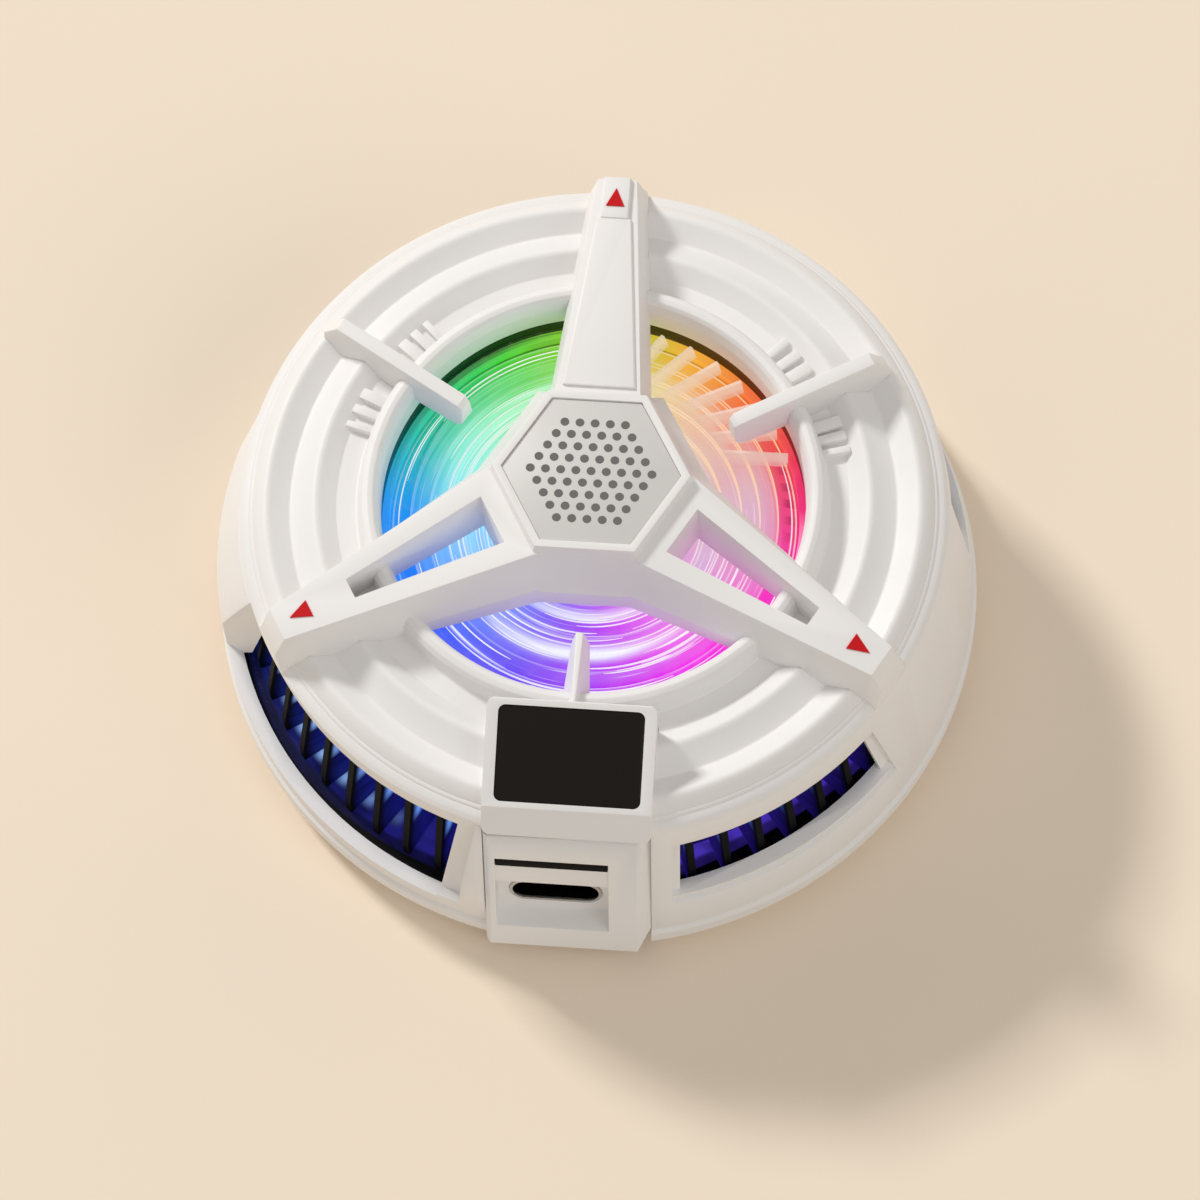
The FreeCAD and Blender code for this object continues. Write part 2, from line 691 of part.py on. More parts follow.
def usb_shell():
    """Metal mouth of the receptacle, cut flush with the slanted wall round it."""
    outer = stadium(PORT_W, PORT_H, -36, -27.6, PORT_X, PORT_Z)
    inner = stadium(PORT_W - 0.6, PORT_H - 0.6, -37, -20, PORT_X, PORT_Z)
    return outer.cut(inner).cut(slanted(POCKET_DEPTH - 0.1, POCKET_LOW, POCKET_STEP_Z))


def usb_tongue():
    """Plastic tongue and its root inside the receptacle."""
    root = stadium(PORT_W - 0.6, PORT_H - 0.6, -28.8, -27.6, PORT_X, PORT_Z)
    tongue = block(PORT_X - 3.35, PORT_X + 3.35, -33.9, -28.8, PORT_Z - 0.35, PORT_Z + 0.35)
    return root.fuse(tongue).removeSplitter()


def usb_contacts():
    """Contact strips on both faces of the tongue."""
    strips = []
    for i in range(12):
        x = PORT_X + (i - 5.5) * 0.5
        for low in (PORT_Z + 0.35, PORT_Z - 0.41):
            strips.append(block(x - 0.12, x + 0.12, -33.4, -28.8, low, low + 0.06))
    return Part.makeCompound(strips)


def main_board():
    """Control board in the front bay."""
    return block(-7.8, 7.8, -32.0, -23.3, BOARD_LOW, BOARD_TOP)


def control_chip():
    """Controller on the main board."""
    return block(3.6, 7.4, -27.6, -23.8, BOARD_TOP, BOARD_TOP + 0.9)


def power_coil():
    """Inductor on the main board."""
    return disc(1.5, BOARD_TOP, BOARD_TOP + 2.4, -5.9, -25.4)


def board_capacitors():
    """Small capacitors on the main board."""
    spots = [(-3.4, -24.4), (-1.6, -24.4), (0.2, -24.4), (2.0, -24.4), (5.0, -30.4), (6.4, -30.4)]
    chips = [block(x - 0.4, x + 0.4, y - 0.8, y + 0.8, BOARD_TOP, BOARD_TOP + 0.8) for x, y in spots]
    return Part.makeCompound(chips)


def heat_sink():
    """Base disc with tall radial fins, open in the front bay and at the bosses."""
    inner_top = STRUT_LOW - 0.2
    base = disc(SINK_R, CELL_TOP, SINK_TOP)
    outline = [
        (FIN_IN, SINK_TOP - 0.3), (FIN_UNDERCUT_R, SINK_TOP - 0.3), (FIN_UNDERCUT_R, SINK_TOP),
        (FIN_FOOT_R, SINK_TOP), (FIN_FOOT_R, FIN_FOOT_Z), (wall_radius(FIN_TOP) - FIN_GAP, FIN_TOP),
        (FIN_STEP, FIN_TOP), (FIN_STEP, inner_top), (FIN_IN, inner_top),
    ]
    points = [V(r, -FIN_T / 2, z) for r, z in outline]
    blade = Part.Face(closed(points)).extrude(V(0, FIN_T, 0))
    short = blade.common(disc(FIN_STEP - 0.1, 0, 30))
    fins = []
    for i in range(FIN_COUNT):
        angle = FIN_FIRST + 360.0 * i / FIN_COUNT
        nearest = min(apart(angle, boss) for boss in BOSS_ANGLES)
        blocked = apart(angle, 270.0) < BAY_HALF or nearest < BOSS_HALF
        fins.append(spun(short if blocked else blade, angle))
    return base.fuse(fins).removeSplitter()


def fan_frame():
    """Clear fan housing: tube, motor cup and struts."""
    frame = ring(TUBE_IN, TUBE_OUT, STRUT_LOW, RIM_Z)
    cup = turned([(0, CUP_FLOOR - 0.9), (9.5, CUP_FLOOR - 0.9), (9.5, STRUT_TOP), (8.8, STRUT_TOP),
                  (8.8, CUP_FLOOR), (0, CUP_FLOOR)])
    frame = frame.fuse(cup)
    strut = block(9.2, 21.0, -0.9, 0.9, STRUT_LOW, STRUT_TOP)
    return frame.fuse(round_array(strut, 6, 30.0)).removeSplitter()


def light_deck():
    """Milky plate under the blades: overlapping louvre rings that let the air through."""
    louvres = []
    drop = DECK_TOP - LOUVRE_T - STRUT_TOP
    for i in range(LOUVRE_COUNT):
        near = DECK_IN + i * LOUVRE_PITCH
        far = near + LOUVRE_WIDTH
        louvres.append(turned([
            (near, DECK_TOP - LOUVRE_T), (near, DECK_TOP), (far, DECK_TOP - drop), (far, STRUT_TOP),
        ]))
    web = block(DECK_IN + 1, TUBE_IN - 0.1, -0.5, 0.5, STRUT_TOP, STRUT_TOP + LOUVRE_T)
    return louvres[0].fuse(louvres[1:] + round_array(web, 6, 30.0)).removeSplitter()


def fan_rotor():
    """Hub cup, thin blades set off the radius, and tip ring in one clear moulding."""
    hub = turned([(SHAFT_R, 20.9), (1.6, 20.9), (1.6, 22.4), (7.5, 22.4), (7.5, 15.4), (HUB_R, 15.4),
                  (HUB_R, 22.7), (7.8, 23.0), (SHAFT_R, 23.0)])
    near = math.sqrt(HUB_R ** 2 - BLADE_OFFSET ** 2) - 0.9
    far = math.sqrt((BLADE_R + 0.1) ** 2 - BLADE_OFFSET ** 2)
    blade = block(near, far, -BLADE_CHORD / 2, BLADE_CHORD / 2, -BLADE_T / 2, BLADE_T / 2)
    blade.rotate(V(0, 0, 0), V(1, 0, 0), BLADE_PITCH)
    blade.translate(V(0, BLADE_OFFSET, BLADE_MID))
    blade = blade.cut(disc(7.6, 15, 30))
    blades = round_array(blade, BLADE_COUNT)
    tip = ring(BLADE_R - 0.1, BLADE_R + 0.4, TIP_LOW, TIP_TOP)
    return hub.fuse(blades + [tip]).removeSplitter()


def rotor_magnet():
    """Ring magnet inside the hub."""
    return ring(6.4, 6.9, 15.8, 21.4)


def flux_ring():
    """Steel ring between magnet and hub."""
    return ring(6.9, 7.5, 15.6, 22.4)


def rotor_shaft():
    """Fan shaft with a groove for its clip."""
    shaft = disc(SHAFT_R, 14.55, 23.0)
    return shaft.cut(ring(0.55, 2.0, 14.75, 15.0))


def retaining_clip():
    """Clip that keeps the shaft in its bearings."""
    clip = ring(0.55, 1.6, 14.75, 15.0)
    return clip.cut(block(0, 3, -0.45, 0.45, 14, 16))


def bearing_tube():
    """Brass tube that holds the bearings."""
    return ring(1.9, 2.6, CUP_FLOOR, 20.6)


def bearing(low):
    """One shaft bearing."""
    return ring(SHAFT_R + SHAFT_FIT, 1.9, low, low + 1.5)


def motor_board():
    """Motor drive board in the cup."""
    return ring(2.6, 8.0, CUP_FLOOR, CUP_FLOOR + 0.6)


def stator_core():
    """Four-pole stack of laminations."""
    core = ring(2.6, 3.4, 16.4, 19.4)
    neck = block(3.2, 5.6, -0.7, 0.7, 16.4, 19.4)
    shoe = turned([(5.4, 16.4), (6.1, 16.4), (6.1, 19.4), (5.4, 19.4)], -32.0, 64.0)
    pole = neck.fuse(shoe)
    return core.fuse(round_array(pole, 4)).removeSplitter()


def stator_coils():
    """Windings round the four necks."""
    outer = block(3.5, 5.0, -1.7, 1.7, 15.6, 20.2)
    hole = block(3.0, 6.0, -0.7, 0.7, 16.4, 19.4)
    coil = outer.cut(hole)
    edges = [e for e in coil.Edges if abs(e.Length - 1.5) < 0.01 and abs(abs(e.CenterOfMass.y) - 1.7) < 0.01]
    return Part.makeCompound(round_array(coil.makeFillet(0.6, edges), 4))


def led_board():
    """Ring board under the top cover, with a gap at the front bay."""
    board = ring(22.0, 30.6, LED_BOARD_LOW, LED_BOARD_TOP)
    return board.cut(block(-7.0, 7.0, -35, -24.2, 15, 25))


def led_ring(radius, start):
    """Light chips under the ring board."""
    chips = []
    low = LED_BOARD_LOW - 0.7
    chip = block(radius - 0.8, radius + 0.8, -0.8, 0.8, low, LED_BOARD_LOW)
    for i in range(LED_COUNT):
        angle = start + 360.0 * i / LED_COUNT
        if apart(angle, 270.0) > 18.0:
            chips.append(spun(chip, angle))
    return Part.makeCompound(chips)


def base_screws():
    """Screws from below through the base into the side wall."""
    screws = []
    for angle in BOSS_ANGLES:
        spot = polar(BOSS_RADIUS, angle)
        head = disc(1.75, 1.3, 2.3, spot.x, spot.y)
        head = head.cut(block(spot.x - 1.0, spot.x + 1.0, spot.y - 0.2, spot.y + 0.2, 1.2, 1.8))
        head = head.cut(block(spot.x - 0.2, spot.x + 0.2, spot.y - 1.0, spot.y + 1.0, 1.2, 1.8))
        screws.append(head.fuse(disc(SCREW_R, 2.3, 11.5, spot.x, spot.y)).removeSplitter())
    return Part.makeCompound(screws)


def main():
    """Build and write every piece."""
    os.makedirs("parts", exist_ok=True)
    cover = top_cover()
    pieces = {
        "cold_plate": cold_plate(),
        "foam_frame": foam_frame(),
        "peltier_cold_face": cell_face(COLD_T),
        "peltier_pellets": cell_pellets(),
        "peltier_hot_face": cell_face(CELL_TOP - CELL_FACE),
        "magnet_cover": ring(CHANNEL_IN + 0.1, CHANNEL_OUT - 0.1, 0.0, 0.8),
        "magnets": magnets(),
        "magnet_shield": ring(23.0, 29.0, 2.75, 3.45),
        "base_shell": base_shell(),
        "body_shell": body_shell(),
        "vent_floor": vent_floor(),
        "top_cover": cover,
        "arm_frame": arm_frame(cover),
        "badge_plate": badge_plate(),
        "arm_panel": arm_panel(),
        "arrow_marks": arrow_marks(),
        "fin_left": side_fin(FIN_ANGLES[0], cover),
        "fin_right": side_fin(FIN_ANGLES[1], cover),
        "fin_front": front_fin(cover),
        "display_housing": display_housing(),
        "display_glass": display_glass(),
        "display_module": display_module(),
        "display_ribbon": display_ribbon(),
        "port_housing": port_housing(),
        "usb_shell": usb_shell(),
        "usb_tongue": usb_tongue(),
        "usb_contacts": usb_contacts(),
        "main_board": main_board(),
        "control_chip": control_chip(),
        "power_coil": power_coil(),
        "board_capacitors": board_capacitors(),
        "heat_sink": heat_sink(),
        "fan_frame": fan_frame(),
        "light_deck": light_deck(),
        "fan_rotor": fan_rotor(),
        "rotor_magnet": rotor_magnet(),
        "flux_ring": flux_ring(),
        "rotor_shaft": rotor_shaft(),
        "retaining_clip": retaining_clip(),
        "bearing_tube": bearing_tube(),
        "lower_bearing": bearing(15.1),
        "upper_bearing": bearing(19.1),
        "motor_board": motor_board(),
        "stator_core": stator_core(),
        "stator_coils": stator_coils(),
        "led_board": led_board(),
        "fan_leds": led_ring(23.4, 7.5),
        "side_leds": led_ring(29.4, 7.5),
        "base_screws": base_screws(),
    }
    for name, shape in pieces.items():
        save(name, shape)


main()
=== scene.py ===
# %% [markdown]
# # A phone cooling fan
# The object is a round white cooler that magnets hold to the back of a phone. A clear fan turns
# under a three-arm guard, coloured light shines up through it, and black fins show in windows in
# the side.
# The construction is already there, as solids at their real size. This lesson adds what the solids
# can't carry: rounded edges, finishes, the lit disc and the small printed and moulded detail.

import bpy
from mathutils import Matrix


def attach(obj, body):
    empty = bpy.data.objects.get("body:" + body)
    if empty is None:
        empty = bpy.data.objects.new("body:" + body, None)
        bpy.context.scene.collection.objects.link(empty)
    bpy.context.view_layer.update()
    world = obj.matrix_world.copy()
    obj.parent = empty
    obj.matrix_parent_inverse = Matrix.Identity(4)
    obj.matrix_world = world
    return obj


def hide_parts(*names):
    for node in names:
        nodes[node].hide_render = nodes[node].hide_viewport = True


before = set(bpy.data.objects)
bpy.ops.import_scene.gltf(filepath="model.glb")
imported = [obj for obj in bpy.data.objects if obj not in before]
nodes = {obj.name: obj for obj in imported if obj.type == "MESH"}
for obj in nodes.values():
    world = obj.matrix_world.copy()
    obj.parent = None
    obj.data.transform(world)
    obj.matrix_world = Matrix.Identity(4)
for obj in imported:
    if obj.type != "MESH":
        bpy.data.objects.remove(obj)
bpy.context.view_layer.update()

# %% [markdown]
# ## Units and small helpers
# Sizes are written in millimetres, as on a drawing, and turned into metres in one place. A piece
# keeps its place in its mesh, so its object stays at the origin, unturned.

# %% Helpers for meshes
import math

import bmesh
import bpy
from mathutils import Matrix, Vector

MM = 0.001


def piece(name, points, faces, material, smooth=35.0):
    """Mesh object from points in millimetres, with normals out and creases kept."""
    mesh = bpy.data.meshes.new(name)
    mesh.from_pydata([Vector(p) * MM for p in points], [], faces)
    shell = bmesh.new()
    shell.from_mesh(mesh)
    bmesh.ops.remove_doubles(shell, verts=shell.verts, dist=1e-7)
    bmesh.ops.recalc_face_normals(shell, faces=shell.faces)
    shell.to_mesh(mesh)
    shell.free()
    obj = bpy.data.objects.new(name, mesh)
    bpy.context.scene.collection.objects.link(obj)
    mesh.materials.append(material)
    return shaded(obj, smooth)


def shaded(obj, angle):
    """Smooth shading that breaks at edges sharper than an angle in degrees."""
    obj.data.shade_smooth()
    obj.data.set_sharp_from_angle(angle=math.radians(angle))
    return obj


def applied(obj):
    """Turns the modifiers of an object into plain mesh."""
    graph = bpy.context.evaluated_depsgraph_get()
    mesh = bpy.data.meshes.new_from_object(obj.evaluated_get(graph))
    obj.modifiers.clear()
    obj.data = mesh
    return obj


def polar(radius, angle, height=0.0):
    """Point at a radius and an angle in degrees from +X."""
    turn = math.radians(angle)
    return (radius * math.cos(turn), radius * math.sin(turn), height)


# %% [markdown]
# ## Camera
# The photograph was taken from above and a little to the right, with a long lens. The direction,
# roll and distance were found by laying the circles of the rim over the picture.

# %% Camera
CAMERA_AZIMUTH = 7.79
CAMERA_ELEVATION = 66.41
CAMERA_ROLL = -3.69
CAMERA_DISTANCE = 0.5
CAMERA_AIM = Vector((-0.00005, 0.00082, -0.00165))
CAMERA_LENS = 148.44


def camera_axes(azimuth, elevation, roll):
    """Right, up and back directions of a camera, from angles in degrees."""
    a, e, r = (math.radians(v) for v in (azimuth, elevation, roll))
    back = Vector((math.sin(a) * math.cos(e), -math.cos(a) * math.cos(e), math.sin(e)))
    level = Vector((math.cos(a), math.sin(a), 0))
    upright = back.cross(level)
    right = level * math.cos(r) + upright * math.sin(r)
    return right, back.cross(right), back


right, up, back = camera_axes(CAMERA_AZIMUTH, CAMERA_ELEVATION, CAMERA_ROLL)
camera = bpy.data.objects.new("camera", bpy.data.cameras.new("camera"))
bpy.context.scene.collection.objects.link(camera)
camera.data.lens = CAMERA_LENS
camera.data.sensor_width = 36.0
camera.data.clip_end = 20.0
turn = Matrix((right, up, back)).transposed()
camera.matrix_world = Matrix.Translation(CAMERA_AIM + back * CAMERA_DISTANCE) @ turn.to_4x4()
bpy.context.scene.camera = camera
print("camera at", [round(v, 4) for v in camera.location])

# %% [markdown]
# ## Stage and light
# A plain pale floor, a lamp on the left behind the object, a faint broad one in front, and an even
# sky. The first stands low, so the shadow falls long to the right and towards the viewer; it is
# small enough for a clear edge and large enough for a soft one. The others fill the shaded slopes.
# What the camera sees past the floor is the floor's own colour, and gloss and glass see it too.

# %% Stage and light
FLOOR_COLOUR = (0.955, 0.825, 0.67, 1.0)
SKY_STRENGTH = 0.46
KEY_POWER = 34.0
KEY_SIZE = 0.38
KEY_PLACE = (-1.44, 1.24, 1.50)
FILL_POWER = 10.0
FILL_SIZE = 1.4
FILL_PLACE = (1.6, -1.1, 1.7)
KEY_TINT = (1.0, 0.985, 0.965)
FILL_TINT = (1.0, 0.99, 0.98)
SKY_TINT = (1.0, 0.965, 0.93, 1.0)
FLOOR_REACH = 3000.0     # millimetres from the middle to each side
FLOOR_DROP = 0.00005     # metres, a hair below the piece that stands on it


def new_material(name):
    """Empty material and its node tree."""
    material = bpy.data.materials.new(name)
    material.use_nodes = True
    material.node_tree.nodes.clear()
    return material, material.node_tree


def add(tree, kind, **inputs):
    """Adds a node and sets its inputs by name; a name with a lower-case first letter is a property."""
    made = tree.nodes.new(kind)
    for name, value in inputs.items():
        if name[0].islower():
            setattr(made, name, value)
        else:
            made.inputs[name.replace("_", " ")].default_value = value
    return made


def join(tree, source, output, target, entry):
    """Links an output of one node to an input of another, by name or number."""
    tree.links.new(source.outputs[output], target.inputs[entry])


def floor_finish():
    """Pale paper, with the faintest mottle."""
    material, tree = new_material("pale_floor")
    place = add(tree, "ShaderNodeTexCoord")
    mottle = add(tree, "ShaderNodeTexNoise", Scale=9.0, Detail=3.0)
    tint = add(tree, "ShaderNodeMix", data_type="RGBA")
    tint.inputs["A"].default_value = FLOOR_COLOUR
    tint.inputs["B"].default_value = tuple(v * 0.96 for v in FLOOR_COLOUR[:3]) + (1.0,)
    surface = add(tree, "ShaderNodeBsdfPrincipled", Roughness=0.9)
    surface.inputs["Specular IOR Level"].default_value = 0.1
    end = add(tree, "ShaderNodeOutputMaterial")
    join(tree, place, "Object", mottle, "Vector")
    join(tree, mottle, "Fac", tint, "Factor")
    join(tree, tint, "Result", surface, "Base Color")
    join(tree, surface, "BSDF", end, "Surface")
    return material


def lamp(name, place, size, power, colour):
    """Square lamp that looks at the middle of the stage."""
    data = bpy.data.lights.new(name, "AREA")
    data.size = size
    data.energy = power
    data.color = colour
    obj = bpy.data.objects.new(name, data)
    obj.location = place
    obj.rotation_euler = (-Vector(place)).to_track_quat("-Z", "Y").to_euler()
    bpy.context.scene.collection.objects.link(obj)


def sky():
    """Even sky for light, and the floor's own colour for what the camera, gloss and glass see."""
    world = bpy.data.worlds.new("studio")
    bpy.context.scene.world = world
    world.use_nodes = True
    tree = world.node_tree
    tree.nodes.clear()
    path = add(tree, "ShaderNodeLightPath")
    either = add(tree, "ShaderNodeMath", operation="MAXIMUM")
    any_of = add(tree, "ShaderNodeMath", operation="MAXIMUM")
    even = add(tree, "ShaderNodeBackground", Color=SKY_TINT, Strength=SKY_STRENGTH)
    seen = add(tree, "ShaderNodeBackground", Color=FLOOR_COLOUR, Strength=1.0)
    mix = add(tree, "ShaderNodeMixShader")
    end = add(tree, "ShaderNodeOutputWorld")
    join(tree, path, "Is Camera Ray", either, 0)
    join(tree, path, "Is Glossy Ray", either, 1)
    join(tree, either, "Value", any_of, 0)
    join(tree, path, "Is Transmission Ray", any_of, 1)
    join(tree, any_of, "Value", mix, "Fac")
    join(tree, even, "Background", mix, 1)
    join(tree, seen, "Background", mix, 2)
    join(tree, mix, "Shader", end, "Surface")


sky()
lamp("key", KEY_PLACE, KEY_SIZE, KEY_POWER, KEY_TINT)
lamp("fill", FILL_PLACE, FILL_SIZE, FILL_POWER, FILL_TINT)
floor_corners = [(x * FLOOR_REACH, y * FLOOR_REACH, 0) for x, y in ((-1, -1), (1, -1), (1, 1), (-1, 1))]
floor = piece("floor", floor_corners, [(0, 1, 2, 3)], floor_finish())
floor.location.z = -FLOOR_DROP
bpy.context.scene.view_settings.view_transform = "Standard"

# %% [markdown]
# ## Moulded plastic
# The case is fine matt plastic. Up close it isn't one flat colour: the mould leaves a very small
# grain, and the gloss wanders a little. One noise gives the grain as a bump, a slower one moves
# the roughness and the tint by a few percent. Every moulded finish is made by the same function.

# %% Plastic finishes
SLOW_GRAIN = 140.0       # noise scale of the wandering tint and gloss
BUMP_DEPTH = 0.00002     # metres between the low and the high places of a grain


def grain(tree, scale, detail=4.0):
    """Noise on the piece's own place, so that it stays put when the piece moves."""
    place = add(tree, "ShaderNodeTexCoord")
    noise = add(tree, "ShaderNodeTexNoise", Scale=scale, Detail=detail)
    join(tree, place, "Object", noise, "Vector")
    return noise


def ranged(tree, source, low, high):
    """Turns a noise into a number that wanders between two values."""
    spread = add(tree, "ShaderNodeMapRange")
    spread.inputs["From Min"].default_value = 0.3
    spread.inputs["From Max"].default_value = 0.7
    spread.inputs["To Min"].default_value = low
    spread.inputs["To Max"].default_value = high
    join(tree, source, "Fac", spread, "Value")
    return spread


def tinted(tree, source, colour, change):
    """Colour that a noise makes a little darker in places."""
    tint = add(tree, "ShaderNodeMix", data_type="RGBA")
    tint.inputs["A"].default_value = (*colour, 1.0)
    tint.inputs["B"].default_value = (*(v * (1.0 - change) for v in colour), 1.0)
    join(tree, source, "Fac", tint, "Factor")
    return tint


def moulded(name, colour, rough=0.5, shift=0.06, change=0.03, bump=0.10, grain_scale=9000.0,
            metal=0.0, specular=0.5, coat=0.0):
    """Moulded, cast or coated finish with a fine grain and a wandering gloss."""
    material, tree = new_material(name)
    slow = grain(tree, SLOW_GRAIN)
    fine = grain(tree, grain_scale, 2.0)
    surface = add(tree, "ShaderNodeBsdfPrincipled", Metallic=metal)
    surface.inputs["Specular IOR Level"].default_value = specular
    surface.inputs["Coat Weight"].default_value = coat
    join(tree, tinted(tree, slow, colour, change), "Result", surface, "Base Color")
    join(tree, ranged(tree, slow, rough - shift, rough + shift), "Result", surface, "Roughness")
    height = add(tree, "ShaderNodeBump", Strength=bump, Distance=BUMP_DEPTH)
    join(tree, fine, "Fac", height, "Height")
    join(tree, height, "Normal", surface, "Normal")
    end = add(tree, "ShaderNodeOutputMaterial")
    join(tree, surface, "BSDF", end, "Surface")
    return material


CASE_WHITE = (0.875, 0.868, 0.860)
white_case = moulded("white_case", CASE_WHITE, rough=0.52)
white_guard = moulded("white_guard", (0.885, 0.876, 0.866), rough=0.48)
grey_plate = moulded("grey_plate", (0.69, 0.68, 0.665), rough=0.42, bump=0.2, grain_scale=6000.0)
dark_ink = moulded("dark_ink", (0.13, 0.13, 0.13), rough=0.6)
red_ink = moulded("red_ink", (0.62, 0.010, 0.014), rough=0.5, change=0.1, specular=0.12)
black_plastic = moulded("black_plastic", (0.02, 0.02, 0.02), rough=0.5)
tongue_black = moulded("tongue_black", (0.004, 0.004, 0.004), rough=0.7, specular=0.1)
black_glass = moulded("black_glass", (0.008, 0.0072, 0.0068), rough=0.16, shift=0.03, bump=0.01,
                      specular=0.12)
smoked_clear = moulded("smoked_clear", (0.008, 0.009, 0.008), rough=0.25, bump=0.02, specular=0.2)
foam = moulded("foam", (0.05, 0.05, 0.05), rough=0.95, bump=0.8, grain_scale=2500.0)
soft_grey = moulded("soft_grey", (0.36, 0.36, 0.37), rough=0.75, bump=0.25)
ceramic = moulded("ceramic", (0.82, 0.82, 0.79), rough=0.35)
cell_metal = moulded("cell_metal", (0.25, 0.25, 0.28), rough=0.45, metal=1.0)
board_green = moulded("board_green", (0.012, 0.075, 0.035), rough=0.3, coat=0.3)
capacitor_tan = moulded("capacitor_tan", (0.38, 0.25, 0.13), rough=0.4)
ribbon_amber = moulded("ribbon_amber", (0.42, 0.17, 0.03), rough=0.3)

# %% [markdown]
# ## Metal finishes
# Rolled and turned metal keeps the direction of the tool. A noise stretched along one direction
# gives brushed plate, and rings about the fan axis give a turned face.

# %% Metal finishes
def worked(name, colour, rough, stretch, bump=0.08, turned=False):
    """Metal with tool marks: stretched noise, or rings about the fan axis."""
    material, tree = new_material(name)
    place = add(tree, "ShaderNodeTexCoord")
    mapping = add(tree, "ShaderNodeMapping", Scale=stretch)
    join(tree, place, "Object", mapping, "Vector")
    if turned:
        marks = add(tree, "ShaderNodeTexWave", wave_type="RINGS", rings_direction="Z", Scale=4500.0,
                    Distortion=1.5, Detail=3.0)
    else:
        marks = add(tree, "ShaderNodeTexNoise", Scale=3000.0, Detail=4.0)
    join(tree, mapping, "Vector", marks, "Vector")
    surface = add(tree, "ShaderNodeBsdfPrincipled", Metallic=1.0)
    join(tree, tinted(tree, marks, colour, 0.12), "Result", surface, "Base Color")
    join(tree, ranged(tree, marks, rough * 0.7, rough * 1.3), "Result", surface, "Roughness")
    height = add(tree, "ShaderNodeBump", Strength=bump, Distance=BUMP_DEPTH)
    join(tree, marks, "Fac", height, "Height")
    join(tree, height, "Normal", surface, "Normal")
    end = add(tree, "ShaderNodeOutputMaterial")
    join(tree, surface, "BSDF", end, "Surface")
    return material


EVEN = (1.0, 1.0, 1.0)         # how far the noise is squeezed along x, y and z
ALONG_Y = (1.0, 0.05, 1.0)
ALONG_Z = (1.0, 1.0, 0.05)
LAYERED = (0.02, 0.02, 1.0)
plated_steel = worked("plated_steel", (0.60, 0.60, 0.61), 0.28, ALONG_Y)
bare_aluminium = worked("bare_aluminium", (0.72, 0.73, 0.74), 0.32, EVEN, turned=True)
gold_contact = worked("gold_contact", (0.83, 0.58, 0.22), 0.25, ALONG_Y)
magnet_metal = worked("magnet_metal", (0.52, 0.52, 0.53), 0.2, EVEN, 0.03)
brass_tube = worked("brass_tube", (0.74, 0.55, 0.25), 0.3, ALONG_Z)
core_steel = worked("core_steel", (0.24, 0.24, 0.26), 0.4, LAYERED, 0.4)
copper_wire = worked("copper_wire", (0.66, 0.27, 0.11), 0.3, LAYERED, 0.5)

# %% [markdown]
# ## Mouth of the socket, with painted shade
# Only the rim of the socket's metal shell sees the room. Further in, painted shade darkens the
# steel: its colour fades to near black within a fraction of a millimetre.

# %% Socket steel
WALL_SLOPE = 4.4 / 19.2          # the wall round the socket leans back by this much
MOUTH_PLANE = -36.82 * MM        # where that wall meets height zero, a hair behind the mouth
# Painted shade: over this depth the steel's colour is painted dark.
SHADE_FADE = 0.2 * MM            # depth over which the steel goes dark


def steel_with_painted_shade():
    """Plated steel at the mouth, with painted shade that makes it dark further in."""
    material, tree = new_material("steel_with_painted_shade")
    place = add(tree, "ShaderNodeTexCoord")
    parts = add(tree, "ShaderNodeSeparateXYZ")
    join(tree, place, "Object", parts, "Vector")
    depth = add(tree, "ShaderNodeMath", operation="MULTIPLY_ADD")
    join(tree, parts, "Z", depth, 0)
    depth.inputs[1].default_value = -WALL_SLOPE
    join(tree, parts, "Y", depth, 2)
    share = add(tree, "ShaderNodeMapRange")
    limits = {"From Min": MOUTH_PLANE, "From Max": MOUTH_PLANE + SHADE_FADE, "To Max": 1.0}
    for label, value in limits.items():
        share.inputs[label].default_value = value
    join(tree, depth, "Value", share, "Value")
    tint = add(tree, "ShaderNodeMix", data_type="RGBA")
    tint.inputs["A"].default_value = (0.50, 0.50, 0.50, 1.0)
    tint.inputs["B"].default_value = (0.01, 0.01, 0.01, 1.0)
    join(tree, share, "Result", tint, "Factor")
    surface = add(tree, "ShaderNodeBsdfPrincipled", Metallic=1.0)
    join(tree, tint, "Result", surface, "Base Color")
    join(tree, ranged(tree, grain(tree, 2500.0), 0.25, 0.4), "Result", surface, "Roughness")
    end = add(tree, "ShaderNodeOutputMaterial")
    join(tree, surface, "BSDF", end, "Surface")
    return material


socket_steel_painted_shade = steel_with_painted_shade()

# %% [markdown]
# ## Light through the fan
# The milky plate under the blades shines in all hues, one after another round the axis. At the
# rim the colour is full, towards the hub it washes out to a pale tone of its own. Spun streaks run
# round the axis and every louvre ring has a bright lip, both painted highlights on the glow, and
# the rim is darkened by painted shade. The angle and the distance from the axis are worked out from
# the piece's own place, so the pattern is the same in every view. A hue's place is an angle from +X,
# seen from above, and the list runs once round from -X.

# %% Hues of the lit plate
DECK_IN = 9.0            # inner and outer edge of the plate
DECK_OUT = 20.6
LOUVRE_PITCH = 1.75      # from one louvre ring to the next
RIM_HUES = (
    (180, (0.0, 0.27, 0.85)), (203, (0.015, 0.19, 0.93)), (225, (0.05, 0.10, 0.92)),
    (248, (0.14, 0.06, 0.88)), (270, (0.34, 0.035, 0.88)), (290, (0.64, 0.01, 0.85)),
    (308, (0.92, 0.0, 0.80)), (340, (0.92, 0.0, 0.50)), (360, (0.84, 0.0, 0.22)),
    (385, (0.78, 0.02, 0.04)), (405, (0.84, 0.12, 0.012)), (425, (0.85, 0.38, 0.012)),
    (447, (0.42, 0.56, 0.015)), (463, (0.21, 0.60, 0.015)), (480, (0.05, 0.58, 0.02)),
    (498, (0.0, 0.52, 0.12)), (516, (0.0, 0.46, 0.36)), (540, (0.0, 0.27, 0.85)),
)
